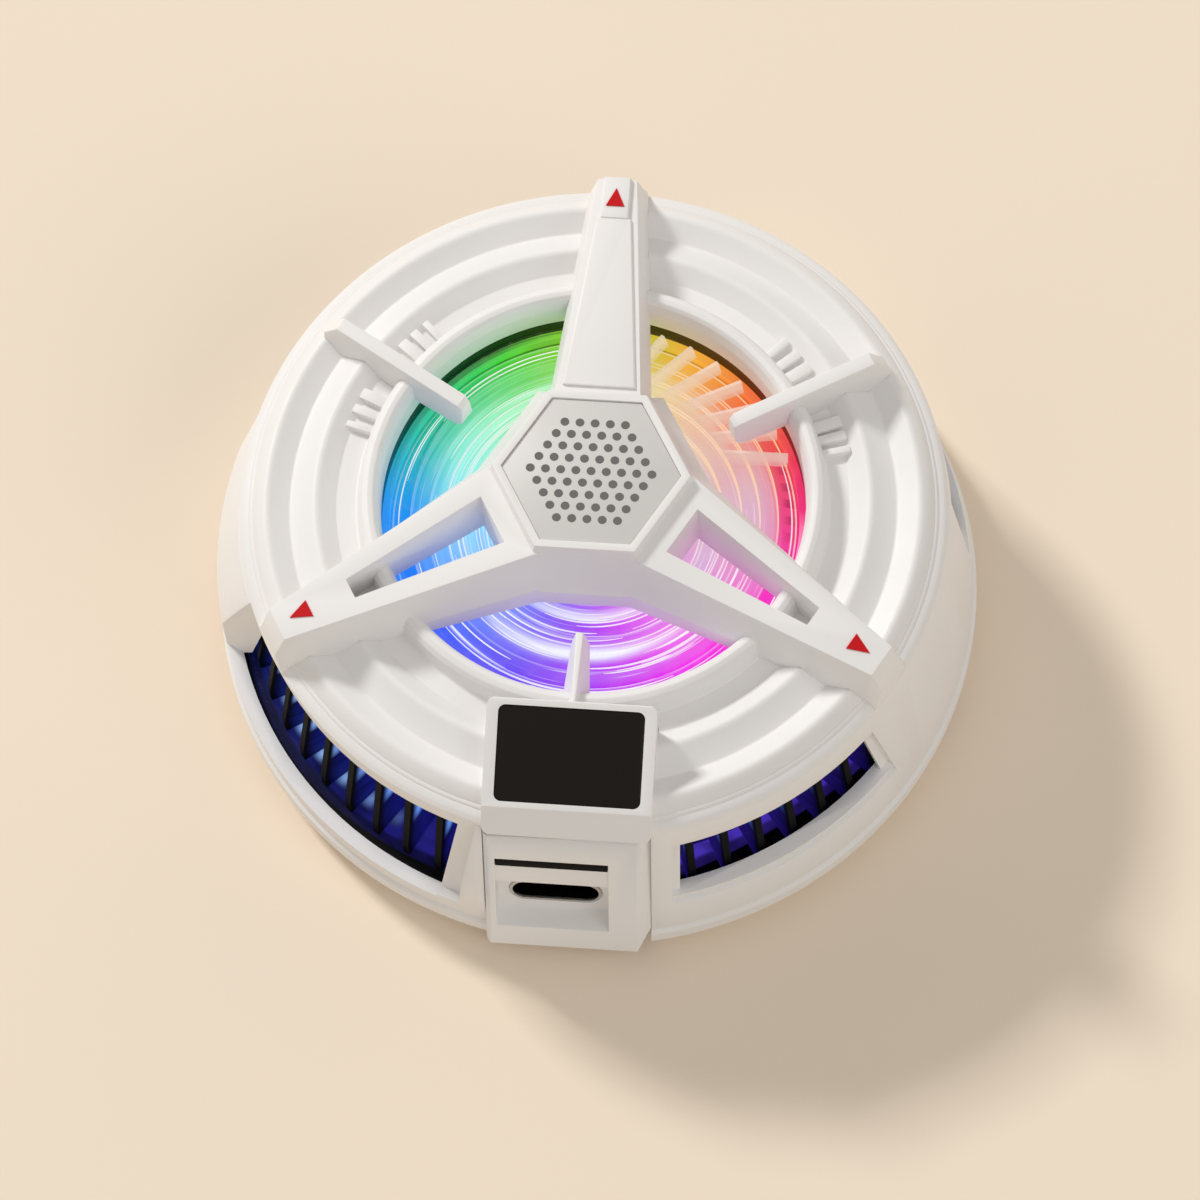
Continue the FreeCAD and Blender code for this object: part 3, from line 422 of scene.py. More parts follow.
PALE_HUES = (
    (180, (0.26, 0.74, 0.95)), (205, (0.24, 0.52, 0.97)), (230, (0.28, 0.40, 0.97)),
    (260, (0.46, 0.30, 0.93)), (290, (0.60, 0.28, 0.88)), (318, (0.66, 0.38, 0.74)),
    (345, (0.68, 0.42, 0.66)), (370, (0.68, 0.46, 0.58)), (395, (0.72, 0.57, 0.50)),
    (430, (0.80, 0.72, 0.47)), (455, (0.50, 0.92, 0.46)), (490, (0.46, 1.0, 0.66)),
    (520, (0.32, 0.92, 0.82)), (540, (0.26, 0.74, 0.95)),
)


def feed(tree, kind, *values, **settings):
    """Adds a node, fills its inputs in order with outputs or plain values, and gives the node."""
    made = tree.nodes.new(kind)
    for name, value in settings.items():
        setattr(made, name, value)
    for entry, value in enumerate(values):
        if isinstance(value, bpy.types.NodeSocket):
            tree.links.new(value, made.inputs[entry])
        else:
            made.inputs[entry].default_value = value
    return made


def maths(tree, operation, *values):
    """Result of a math node fed by outputs or plain numbers."""
    return feed(tree, "ShaderNodeMath", *values, operation=operation).outputs["Value"]


def product(tree, first, *others):
    """Numbers or outputs multiplied with each other."""
    for other in others:
        first = maths(tree, "MULTIPLY", first, other)
    return first


def scaled(tree, value, factor, start):
    """A value times a factor, plus a start."""
    return maths(tree, "MULTIPLY_ADD", value, factor, start)


def round_place(tree):
    """Turn (0 to 1, from -X), distance from the axis, and x, y and z, in millimetres."""
    place = add(tree, "ShaderNodeTexCoord")
    parts = add(tree, "ShaderNodeSeparateXYZ")
    join(tree, place, "Object", parts, "Vector")
    x, y, z = (product(tree, parts.outputs[axis], 1.0 / MM) for axis in "XYZ")
    turn = scaled(tree, maths(tree, "ARCTAN2", y, x), 0.5 / math.pi, 0.5)
    squares = maths(tree, "ADD", product(tree, x, x), product(tree, y, y))
    return turn, maths(tree, "SQRT", squares), x, y, z


def hue_ramp(tree, turn, hues):
    """Colour by direction."""
    ramp = add(tree, "ShaderNodeValToRGB")
    stops = ramp.color_ramp.elements
    for i, (angle, colour) in enumerate(hues):
        share = (angle - 180) / 360
        stop = stops[i] if i < 2 else stops.new(share)
        if i == 1:
            stops[1].position = share
        stop.color = (*colour, 1.0)
    tree.links.new(turn, ramp.inputs["Fac"])
    return ramp.outputs["Color"]


def value_ramp(tree, source, stops, low=None, high=None):
    """Number that follows a source through (place, value) stops, on a scale from low to high."""
    low = stops[0][0] if low is None else low
    high = stops[-1][0] if high is None else high
    share = add(tree, "ShaderNodeMapRange")
    share.inputs["From Min"].default_value = low
    share.inputs["From Max"].default_value = high
    tree.links.new(source, share.inputs["Value"])
    ramp = add(tree, "ShaderNodeValToRGB")
    elements = ramp.color_ramp.elements
    for element, (place, value) in zip((elements[0], elements[1]), (stops[0], stops[-1])):
        element.position = (place - low) / (high - low)
        element.color = (value, value, value, 1.0)
    for place, value in stops[1:-1]:
        elements.new((place - low) / (high - low)).color = (value, value, value, 1.0)
    join(tree, share, "Result", ramp, "Fac")
    return ramp.outputs["Color"]


def hump(tree, source, centre, half):
    """Number that is 1 at a centre and falls to 0 at a distance from it."""
    away = maths(tree, "ABSOLUTE", maths(tree, "SUBTRACT", source, centre))
    made = add(tree, "ShaderNodeMapRange", interpolation_type="SMOOTHSTEP")
    for label, value in (("From Min", 0.0), ("From Max", half), ("To Min", 1.0), ("To Max", 0.0)):
        made.inputs[label].default_value = value
    tree.links.new(away, made.inputs["Value"])
    return made.outputs["Result"]


def streaks(tree, x, y, radius, rate, wander, detail):
    """Noise drawn out round the axis, without a seam: how fast it changes outwards and round."""
    joined = add(tree, "ShaderNodeCombineXYZ")
    safe = maths(tree, "MAXIMUM", radius, 0.001)
    for axis, value in (("X", x), ("Y", y)):
        tree.links.new(product(tree, maths(tree, "DIVIDE", value, safe), wander), joined.inputs[axis])
    tree.links.new(product(tree, radius, rate), joined.inputs["Z"])
    noise = add(tree, "ShaderNodeTexNoise", Scale=1.0, Detail=detail, Roughness=0.55)
    join(tree, joined, "Vector", noise, "Vector")
    return noise.outputs["Fac"]


def blend(tree, first, second, share):
    """Colour between two others; each may be an output or a plain colour."""
    made = add(tree, "ShaderNodeMix", data_type="RGBA")
    for entry, value in (("A", first), ("B", second), ("Factor", share)):
        if isinstance(value, bpy.types.NodeSocket):
            tree.links.new(value, made.inputs[entry])
        else:
            made.inputs[entry].default_value = (*value, 1.0) if isinstance(value, tuple) else value
    return made.outputs["Result"]


def shining(tree, colour, strength, rough=0.3, base=(0.04, 0.04, 0.04), gloss=0.2):
    """Ends a tree with a surface that shines in a colour."""
    surface = add(tree, "ShaderNodeBsdfPrincipled", Roughness=rough)
    surface.inputs["Base Color"].default_value = (*base, 1.0)
    surface.inputs["Specular IOR Level"].default_value = gloss
    surface.inputs["Emission Strength"].default_value = strength
    tree.links.new(colour, surface.inputs["Emission Color"])
    end = add(tree, "ShaderNodeOutputMaterial")
    join(tree, surface, "BSDF", end, "Surface")


# %% [markdown]
# ## The lit plate
# Layers are laid over each other: the full hue, the pale tone that takes over towards the hub,
# painted highlights as white spun streaks, and painted highlights on the lips of the louvre rings,
# golden on the right, where the light is warm. The front keeps more colour between two broad white
# bands, also painted highlights, and a row of red squares runs along the rim on the right. Painted
# shade darkens the gap under the rim, most at the back, the top of the rim at the back on the left,
# and streaks near the rim there.

# %% Lit plate
WARM_SIDE = (0.575, 0.19)        # centre and half width, as shares of the turn
FRONT_SIDE = (0.25, 0.17)
BACK_SIDE = (0.79, 0.22)
MILKY_SIDE = (0.52, 0.17)
SQUARES_SIDE = (0.53, 0.07)
SHADE_SIDE = (0.86, 0.2)
BRIM_SIDE = (0.90, 0.13)
# Stops of a distance from the axis and a strength, and in BELOW_RIM of a height and a strength.
WASH = ((9.0, 1.0), (11.5, 0.95), (14.0, 0.74), (16.2, 0.40), (18.2, 0.06), (DECK_OUT, 0.0))
INSIDE = ((9.0, 1.0), (16.5, 1.0), (18.8, 0.2), (DECK_OUT, 0.0))
MILKY = ((9.0, 1.0), (15.8, 0.9), (17.5, 0.6), (18.1, 0.1), (DECK_OUT, 0.0))
SHADE_RISE = ((16.5, 0.0), (18.3, 1.0))
# The next two set the painted shade in the gap under the rim.
SHADOW_GAP = ((19.0, 0.0), (19.6, 0.0), (19.72, 1.0), (DECK_OUT, 1.0))
BELOW_RIM = ((17.0, 1.0), (18.72, 1.0), (18.85, 0.0), (DECK_OUT, 0.0))
OUTER_BAND = (14.1, 1.3)         # radius and half width of the two white bands in front
INNER_BAND = (10.2, 0.9)
SQUARE_RING = (19.0, 0.8)
SQUARE_COUNT = 66.0
LIP_WIDTH = 0.16
BRIM_IN = 20.12
# Colours of the painted highlights on the streaks and the lips, the red of the squares, and the painted
# shade.
STREAK_HIGHLIGHT = (0.90, 0.93, 1.0)
COOL_LIP_HIGHLIGHT = (0.9, 0.95, 1.0)
WARM_LIP_HIGHLIGHT = (1.0, 0.70, 0.33)
SQUARE_RED = (0.42, 0.004, 0.07)
SHADE_GREEN = (0.0, 0.03, 0.0)
BLACK = (0.0, 0.0, 0.0)


def lit_deck():
    """Milky plate that shines in all hues, with painted highlights as spun streaks and bright lips, and
    painted shade at the rim.
    """
    material, tree = new_material("lit_deck")
    turn, radius, x, y, z = round_place(tree)
    warm = hump(tree, turn, *WARM_SIDE)
    front = hump(tree, turn, *FRONT_SIDE)
    broad = streaks(tree, x, y, radius, rate=0.75, wander=0.9, detail=1.0)
    thin = streaks(tree, x, y, radius, rate=3.6, wander=1.1, detail=2.0)
    inside = value_ramp(tree, radius, INSIDE)

    less_in_front = maths(tree, "SUBTRACT", 1.0, product(tree, front, 0.78))
    wash = product(tree, value_ramp(tree, radius, WASH), less_in_front)
    lift = product(tree, maths(tree, "SUBTRACT", broad, 0.5), scaled(tree, warm, -0.7, 1.1))
    pale = maths(tree, "ADD", wash, product(tree, lift, inside))
    milky = product(tree, value_ramp(tree, radius, MILKY), hump(tree, turn, *MILKY_SIDE))
    pale = maths(tree, "MINIMUM", maths(tree, "MAXIMUM", pale, milky), 1.0)
    colour = blend(tree, hue_ramp(tree, turn, RIM_HUES), hue_ramp(tree, turn, PALE_HUES), pale)

    # Painted highlights: white spun streaks, and in front two broad white bands.
    lines = product(tree, maths(tree, "MAXIMUM", maths(tree, "SUBTRACT", thin, 0.60), 0.0), 6.0)
    lines = product(tree, lines, maths(tree, "SUBTRACT", 1.0, product(tree, warm, 0.8)), inside)
    bands = product(tree, hump(tree, radius, *INNER_BAND), 0.8)
    bands = maths(tree, "MAXIMUM", hump(tree, radius, *OUTER_BAND), bands)
    bands = product(tree, bands, front, scaled(tree, broad, 1.5, 0.3))
    white = maths(tree, "MINIMUM", maths(tree, "ADD", lines, bands), 0.92)
    colour = blend(tree, colour, STREAK_HIGHLIGHT, white)

    # Painted highlight on the lip of every louvre ring, golden where the light is warm.
    across = maths(tree, "MODULO", maths(tree, "SUBTRACT", radius, DECK_IN), LOUVRE_PITCH)
    lip = maths(tree, "LESS_THAN", across, LIP_WIDTH)
    lip_highlight = blend(tree, COOL_LIP_HIGHLIGHT, WARM_LIP_HIGHLIGHT, warm)
    colour = blend(tree, colour, lip_highlight, product(tree, lip, scaled(tree, warm, 0.6, 0.2)))

    squares = maths(tree, "GREATER_THAN", maths(tree, "FRACT", product(tree, turn, SQUARE_COUNT)), 0.5)
    spread = product(tree, hump(tree, radius, *SQUARE_RING), hump(tree, turn, *SQUARES_SIDE), 0.75)
    colour = blend(tree, colour, SQUARE_RED, product(tree, squares, spread))

    # Painted shade: dark streaks near the rim at the back on the left.
    shade = product(tree, maths(tree, "MAXIMUM", maths(tree, "SUBTRACT", 0.45, thin), 0.0), 5.0)
    shade = product(tree, shade, value_ramp(tree, radius, SHADE_RISE, 16.0, DECK_OUT))
    shade = maths(tree, "MINIMUM", product(tree, shade, hump(tree, turn, *SHADE_SIDE)), 0.7)
    colour = blend(tree, colour, SHADE_GREEN, shade)

    # Painted shade in the gap under the rim and on the rim's top at the back, most at the back.
    low = product(tree, value_ramp(tree, radius, SHADOW_GAP), value_ramp(tree, z, BELOW_RIM))
    brim_shade = product(tree, maths(tree, "GREATER_THAN", radius, BRIM_IN), hump(tree, turn, *BRIM_SIDE))
    dark = maths(tree, "MAXIMUM", low, brim_shade)
    behind = hump(tree, turn, *BACK_SIDE)
    shining(tree, blend(tree, colour, BLACK, product(tree, dark, scaled(tree, behind, 0.8, 0.1))), 1.0)
    return material


deck_glow = lit_deck()


def lit_line(name, white, strength):
    """Clear ridge with a painted highlight: it shines in a paler shade of the hue under it."""
    material, tree = new_material(name)
    turn, radius, x, y, z = round_place(tree)
    along = streaks(tree, x, y, radius, rate=0.8, wander=2.2, detail=2.0)
    pale = maths(tree, "MINIMUM", scaled(tree, along, 0.9, white - 0.45), 1.0)
    shining(tree, blend(tree, hue_ramp(tree, turn, RIM_HUES), (1.0, 1.0, 1.0), pale), strength)
    return material


# Painted highlight on the ridges.
ridge_glow = lit_line("ridge_glow", 0.80, 0.95)

# Painted light on the blades: the tone they glow in, and how the glow grows outwards and upwards.
GLOW_TONE = (0.98, 0.88, 0.70)
GLOW_REACH = ((9.0, 0.0), (13.4, 0.05), (15.0, 0.5), (19.5, 0.62))   # by radius
GLOW_RISE = ((20.0, 0.0), (21.5, 0.0), (21.6, 0.85), (22.6, 1.0))    # by height
LEAST_GLOW = 0.015


def clear_blade_painted_glow():
    """Clear moulding with painted light: blades glow along the upper edges, where the light leaves it.
    """
    material, tree = new_material("clear_blade_painted_glow")
    turn, radius, x, y, z = round_place(tree)
    # Painted light: the stored share, the radius and the height say where a blade glows instead of
    # staying clear.
    painted_glow = add(tree, "ShaderNodeAttribute", attribute_name="painted_glow")
    colour = blend(tree, hue_ramp(tree, turn, RIM_HUES), GLOW_TONE, 0.66)
    body = add(tree, "ShaderNodeBsdfPrincipled", Roughness=0.35)
    body.inputs["Base Color"].default_value = (0.35, 0.35, 0.35, 1.0)
    body.inputs["Emission Strength"].default_value = 0.6
    tree.links.new(colour, body.inputs["Emission Color"])
    clear = add(tree, "ShaderNodeBsdfTransparent")
    mix = add(tree, "ShaderNodeMixShader")
    reach = value_ramp(tree, radius, GLOW_REACH, high=20.0)
    edge = value_ramp(tree, z, GLOW_RISE, high=23.0)
    share = maths(tree, "ADD", product(tree, painted_glow.outputs["Fac"], reach, edge), LEAST_GLOW)
    tree.links.new(share, mix.inputs["Fac"])
    join(tree, clear, "BSDF", mix, 1)
    join(tree, body, "BSDF", mix, 2)
    end = add(tree, "ShaderNodeOutputMaterial")
    join(tree, mix, "Shader", end, "Surface")
    return material


blade_clear = clear_blade_painted_glow()

# %% [markdown]
# ## Light behind the fins
# The fins are black, yet blue light from inside runs over their flanks and over the floor between
# them, bluer on the left and more violet on the right. This light is painted on as a glow, with
# painted glints near the top of the windows. The tips that face out stay dark, and so does the outer
# strip of the floor. How far a point lies behind the tips sets how much painted light it gets.

# %% Finishes behind the windows
# Hues of the painted light on the flanks and on the floor, by direction.
FLANK_HUES = (
    (180, (0.006, 0.016, 0.20)), (215, (0.005, 0.010, 0.16)), (240, (0.006, 0.007, 0.14)),
    (290, (0.012, 0.006, 0.13)), (325, (0.010, 0.005, 0.10)), (540, (0.006, 0.016, 0.20)),
)
FLOOR_HUES = (
    (180, (0.006, 0.014, 0.12)), (215, (0.010, 0.012, 0.12)), (240, (0.011, 0.010, 0.15)),
    (290, (0.060, 0.030, 0.42)), (325, (0.048, 0.022, 0.34)), (540, (0.006, 0.014, 0.12)),
)


TIP_SLOPE = -0.1808              # the fin tips follow the wall: radius lost for each millimetre up
TIP_AT_ZERO = 36.28
TIP_MOST = 34.7
FLANK_GLOW = ((0.0, 0.0), (0.35, 0.0), (1.2, 0.5), (3.0, 1.0), (6.0, 0.5), (9.0, 0.0))   # by depth
FLANK_RISE = ((10.0, 0.0), (12.0, 0.0), (13.6, 1.0), (20.0, 1.0))                        # by height
LEFT_SIDE = (0.14, 0.16)
FAR_LEFT = (0.06, 0.10)
# Painted glints on the flanks near the top of the windows:
GLINT_DEPTH = (1.7, 1.3)
NEAR_DEPTH = (0.95, 0.65)
GLINT_BLUE = (0.16, 0.36, 1.0)
NEAR_BLUE = (0.30, 0.50, 1.0)
FLOOR_GLOW = ((-1.0, 0.0), (0.0, 0.0), (0.15, 0.25), (0.9, 0.3), (1.3, 1.0), (4.0, 1.0))
# Painted glints on the floor, one spot to a cell between the fins:
SPOT_COUNT = 60.0
SPOT_PLACE = (0.55, 0.3)         # within its cell, behind the limit, and round the turn
SPOT_DEPTH = (3.0, 1.3)
SPOT_SIDE = (0.09, 0.09)
SPOT_BLUE = (0.3, 0.52, 1.0)


def lit_fins():
    """Black fins with painted blue light and painted glints on the parts that lie behind their tips."""
    material, tree = new_material("lit_fins")
    turn, radius, x, y, z = round_place(tree)
    tip = maths(tree, "MINIMUM", scaled(tree, z, TIP_SLOPE, TIP_AT_ZERO), TIP_MOST)
    depth = maths(tree, "SUBTRACT", tip, radius)
    glow = value_ramp(tree, depth, FLANK_GLOW, high=10.0)
    high = value_ramp(tree, z, FLANK_RISE)
    left = hump(tree, turn, *LEFT_SIDE)
    # Painted glints: bright blue on the flanks near the top of the windows.
    glint = product(tree, hump(tree, depth, *GLINT_DEPTH), high, scaled(tree, left, 0.75, 0.2))
    near = product(tree, hump(tree, depth, *NEAR_DEPTH), high, hump(tree, turn, *FAR_LEFT), 1.6)
    patch = streaks(tree, x, y, z, rate=0.5, wander=9.0, detail=1.0)
    uneven = product(tree, glow, scaled(tree, patch, 2.4, -0.3))
    colour = blend(tree, BLACK, hue_ramp(tree, turn, FLANK_HUES), uneven)
    colour = blend(tree, colour, NEAR_BLUE, maths(tree, "MINIMUM", near, 1.0))
    colour = blend(tree, colour, GLINT_BLUE, glint)
    shining(tree, colour, 1.0, rough=0.6, base=(0.005, 0.005, 0.005), gloss=0.06)
    return material


def lit_floor():
    """Black floor with painted blue light where it lies well behind the fin tips, and painted glints."""
    material, tree = new_material("lit_floor")
    turn, radius, x, y, z = round_place(tree)
    limit = scaled(tree, hump(tree, turn, 0.347, 0.12), -2.2, 34.3)
    limit = scaled(tree, hump(tree, turn, 0.08, 0.16), 1.5, limit)
    inside = maths(tree, "SUBTRACT", limit, radius)
    glow = value_ramp(tree, inside, FLOOR_GLOW)
    patch = streaks(tree, x, y, radius, rate=0.6, wander=11.0, detail=1.0)
    uneven = product(tree, glow, scaled(tree, patch, 2.2, -0.2))
    colour = blend(tree, BLACK, hue_ramp(tree, turn, FLOOR_HUES), uneven)
    # Painted glints: a spot in each cell between the fins, on the left.
    cell = maths(tree, "FRACT", product(tree, turn, SPOT_COUNT))
    spots = product(tree, hump(tree, cell, *SPOT_PLACE), hump(tree, inside, *SPOT_DEPTH),
                    hump(tree, turn, *SPOT_SIDE))
    colour = blend(tree, colour, SPOT_BLUE, spots)
    shining(tree, colour, 1.0, rough=0.5, base=(0.004, 0.004, 0.005), gloss=0.1)
    return material


def chip_light(name, colour, strength):
    """Small light, a little uneven."""
    material, tree = new_material(name)
    slow = grain(tree, 260.0)
    tint = tinted(tree, slow, colour, 0.6).outputs["Result"]
    shining(tree, tint, strength, rough=0.4, base=(0.1, 0.1, 0.2))
    return material


black_fins = lit_fins()
vent_black = lit_floor()
chip_blue = chip_light("chip_blue", (0.10, 0.22, 1.0), 2.0)
chip_white = chip_light("chip_white", (0.8, 0.85, 1.0), 1.5)

# %% [markdown]
# ## A finish for every piece
# Pieces whose solid is already right keep their mesh and only get a finish. That holds for
# everything inside, which shows in the windows, through the fan or when the case is opened.

# %% Dress the pieces that stay
FINISHES = (
    (bare_aluminium, "cold_plate"), (foam, "foam_frame"), (soft_grey, "magnet_cover"),
    (ceramic, "peltier_cold_face", "peltier_hot_face"), (cell_metal, "peltier_pellets"),
    (magnet_metal, "magnets", "rotor_magnet"), (brass_tube, "bearing_tube"),
    (socket_steel_painted_shade, "usb_shell"),
    (plated_steel, "magnet_shield", "flux_ring", "rotor_shaft", "retaining_clip", "lower_bearing",
     "upper_bearing", "base_screws"),
    (vent_black, "vent_floor"), (chip_blue, "side_leds"), (chip_white, "fan_leds"),
    (black_plastic, "display_module", "control_chip", "power_coil"), (tongue_black, "usb_tongue"),
    (ribbon_amber, "display_ribbon"), (gold_contact, "usb_contacts"),
    (board_green, "main_board", "motor_board", "led_board"), (capacitor_tan, "board_capacitors"),
    (black_fins, "heat_sink"), (smoked_clear, "fan_frame"), (deck_glow, "light_deck"),
    (core_steel, "stator_core"), (copper_wire, "stator_coils"), (red_ink, "arrow_marks"),
)


def dress(obj, material):
    """Gives a carried-over piece its finish."""
    obj.data.materials.clear()
    obj.data.materials.append(material)


for material, *names in FINISHES:
    for name in names:
        dress(nodes[name], material)
print("dressed", sum(len(row) - 1 for row in FINISHES), "pieces")

# %% [markdown]
# ## Rounded edges
# No moulded edge is a knife edge: the highlight along it is what makes plastic look like plastic.
# A copy of the solid is merged into one surface, its flat triangles become whole faces, and a
# bevel rounds every crease. The copy then stands for the solid.

# %% Round the guard, the fins and the front block
BOX_SIDES = [(0, 1, 3, 2), (4, 6, 7, 5), (0, 4, 5, 1), (2, 3, 7, 6), (0, 2, 6, 4), (1, 5, 7, 3)]
CREASE = 24.0            # degrees; a sharper fold is rounded
GROOVE_BOX = ((-9.0, -40.0, 21.45), (9.0, -33.62, 22.4))     # dark line under the display's lip


def box_corners(low, high):
    """Eight corners of a box between two opposite ones."""
    return [(x, y, z) for x in (low[0], high[0]) for y in (low[1], high[1]) for z in (low[2], high[2])]


def cut_away(obj, low, high):
    """Takes a box out of an object."""
    tool = piece("tool", box_corners(low, high), BOX_SIDES, obj.data.materials[0])
    cut = obj.modifiers.new("cut", "BOOLEAN")
    cut.operation = "DIFFERENCE"
    cut.solver = "EXACT"
    cut.object = tool
    applied(obj)
    bpy.data.objects.remove(tool)
    return obj


def softened(name, node, material, edge, segments=3):
    """Copy of a solid with its creases rounded, which stands for that solid."""
    shell = bmesh.new()
    shell.from_mesh(nodes[node].data)
    bmesh.ops.remove_doubles(shell, verts=shell.verts, dist=2e-6)
    bmesh.ops.dissolve_limit(shell, angle_limit=math.radians(0.6), verts=shell.verts, edges=shell.edges)
    mesh = bpy.data.meshes.new(name)
    shell.to_mesh(mesh)
    shell.free()
    mesh.materials.append(material)
    obj = bpy.data.objects.new(name, mesh)
    bpy.context.scene.collection.objects.link(obj)
    if edge:
        bevel = obj.modifiers.new("round", "BEVEL")
        bevel.width = edge * MM
        bevel.segments = segments
        bevel.limit_method = "ANGLE"
        bevel.angle_limit = math.radians(CREASE)
        bevel.use_clamp_overlap = True
        applied(obj)
    shaded(obj, 50.0 if edge else CREASE)
    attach(obj, "case")
    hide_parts(node)
    print(name, len(obj.data.polygons), "faces")
    return obj


softened("side_wall", "body_shell", white_case, 0.1, 2)
softened("base_ring", "base_shell", white_case, 0.0)
softened("guard", "arm_frame", white_guard, 0.22)
softened("rear_arm_panel", "arm_panel", white_guard, 0.1, 2)
for side in ("left", "right", "front"):
    softened(side + "_fin", "fin_" + side, white_guard, 0.14)
softened("display_frame", "display_housing", white_case, 0.3, 4)
block = softened("plug_block", "port_housing", white_case, 0.14)
cut_away(block, *GROOVE_BOX)
softened("hub_plate", "badge_plate", grey_plate, 0.12, 2)
softened("display_pane", "display_glass", black_glass, 0.12, 2)

# %% [markdown]
# ## Strip in the plug's pocket, for painted shade
# The pocket for the plug has a slit along its top that lies in shade. A black strip in it stands for
# that shade, a little below the face, with its front parallel to the slanted wall.

# %% Pocket strip
FACE_FOOT = (-38.3, 3.0)         # y and z of the lower block's front face
FACE_TOP = (-33.9, 22.2)
STRIP_X = (-6.8, 3.9)
STRIP_Z = (16.55, 17.75)
STRIP_DEPTH = (0.08, 1.7)        # below the face


def face_y(height):
    """Front face of the lower block at a height, as y."""
    share = (height - FACE_FOOT[1]) / (FACE_TOP[1] - FACE_FOOT[1])
    return FACE_FOOT[0] + share * (FACE_TOP[0] - FACE_FOOT[0])


def slanted_strip(name, across, depths, heights, material):
    """Strip parallel to the front face, between two depths below it."""
    points = [(x, face_y(z) + depth, z) for x in across for depth in depths for z in heights]
    strip = piece(name, points, BOX_SIDES, material)
    round_off = strip.modifiers.new("round", "BEVEL")
    round_off.width = 0.1 * MM
    round_off.segments = 2
    return shaded(applied(strip), 40.0)


# Painted shade: a black strip in the slit under the pocket's top.
strip = slanted_strip("pocket_shade_strip", STRIP_X, STRIP_DEPTH, STRIP_Z, tongue_black)
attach(strip, "case")

# %% [markdown]
# ## Skirt under the display
# Seen from behind, a low slit would show between the display's back wall and the ring round the
# fan. A narrow skirt behind the ring closes it.

# %% Skirt
SKIRT_LOW = (-7.6, -24.0, 20.8)
SKIRT_HIGH = (7.6, -22.98, 22.4)
skirt = piece("display_skirt", box_corners(SKIRT_LOW, SKIRT_HIGH), BOX_SIDES, white_case)
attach(skirt, "case")
print("skirt", round(SKIRT_HIGH[2] - SKIRT_LOW[2], 2), "mm high")

# %% [markdown]
# ## Growing repeated parts
# Blades, ridges, dots and ribs are one small shape many times over. Geometry Nodes make such a
# row from a few named sizes, so the count or the pitch can be changed in one place. The tree is
# built here, its result is kept as plain mesh, and the modifier is taken off again.

# %% Helpers for node trees
def seedbed(name, **kinds):
    """New geometry tree with named inputs. Gives the tree, the inputs' node and their identifiers."""
    tree = bpy.data.node_groups.new(name, "GeometryNodeTree")
    tree.interface.new_socket("Geometry", in_out="OUTPUT", socket_type="NodeSocketGeometry")
    ids = {}
    for label, kind in kinds.items():
        socket = tree.interface.new_socket(label, in_out="INPUT", socket_type="NodeSocket" + kind)
        ids[label] = socket.identifier
    return tree, tree.nodes.new("NodeGroupInput").outputs, ids


def vector(tree, x, y, z):
    """Vector from three numbers or outputs."""
    return feed(tree, "ShaderNodeCombineXYZ", x, y, z).outputs[0]


def close(tree, geometry, material):
    """Realize, give the material, and end the tree."""
    plain = feed(tree, "GeometryNodeRealizeInstances", geometry).outputs[0]
    painted = feed(tree, "GeometryNodeSetMaterial", plain)
    painted.inputs["Material"].default_value = material
    end = tree.nodes.new("NodeGroupOutput")
    tree.links.new(painted.outputs[0], end.inputs[0])


def grown(name, tree, ids, body, slot, smooth=35.0, edge=0.0, **values):
    """Runs a tree with its sizes and keeps the result as a piece that rides on a body."""
    obj = bpy.data.objects.new(name, bpy.data.meshes.new(name))
    bpy.context.scene.collection.objects.link(obj)
    maker = obj.modifiers.new("make", "NODES")
    maker.node_group = tree
    for label, value in values.items():
        maker[ids[label]] = value
    if edge:
        bevel = obj.modifiers.new("round", "BEVEL")
        bevel.width = edge * MM
        bevel.segments = 2
        bevel.limit_method = "ANGLE"
    applied(obj)
    shaded(obj, smooth)
    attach(obj, body)
    print(name, len(obj.data.polygons), "faces")
    return obj


# %% [markdown]
# ## Fan blades
# The fan is one clear moulding: a hub, forty thin blades set off the radius, and a rim. One blade
# is a thin box, tipped to its pitch and pushed sideways so that it leaves the hub at a slant. Each
# copy is turned one step further. A stored value says how much painted light each blade shows:
# the blades near one direction glow, the others stay clear.

# %% Fan
BLADE_COUNT = 40
BLADE_OFFSET = 6.2       # each blade passes the axis at this distance
BLADE_CHORD = 2.8
BLADE_THICK = 0.4
BLADE_PITCH = 68.0       # degrees
BLADE_MID = 21.5
BLADE_R = 19.4
HUB_R = 8.2
GLOW_ANGLE = 24.0        # degrees from +X to the blade with the most painted light
GLOW_FULL = 34.0         # full painted light up to here on both sides of it, none from there
GLOW_NONE = 56.0
HUB_OUTLINE = ((0.8, 20.9, 0), (1.6, 20.9, 0), (1.6, 22.4, 0), (7.5, 22.4, 0), (7.5, 15.4, 0),
               (HUB_R, 15.4, 0.1), (HUB_R, 22.7, 0.2), (7.8, 23.0, 0.1), (0.8, 23.0, 0))
RIM_OUTLINE = ((19.3, 20.7, 0), (19.8, 20.7, 0.1), (19.8, 22.3, 0.1), (19.3, 22.3, 0))


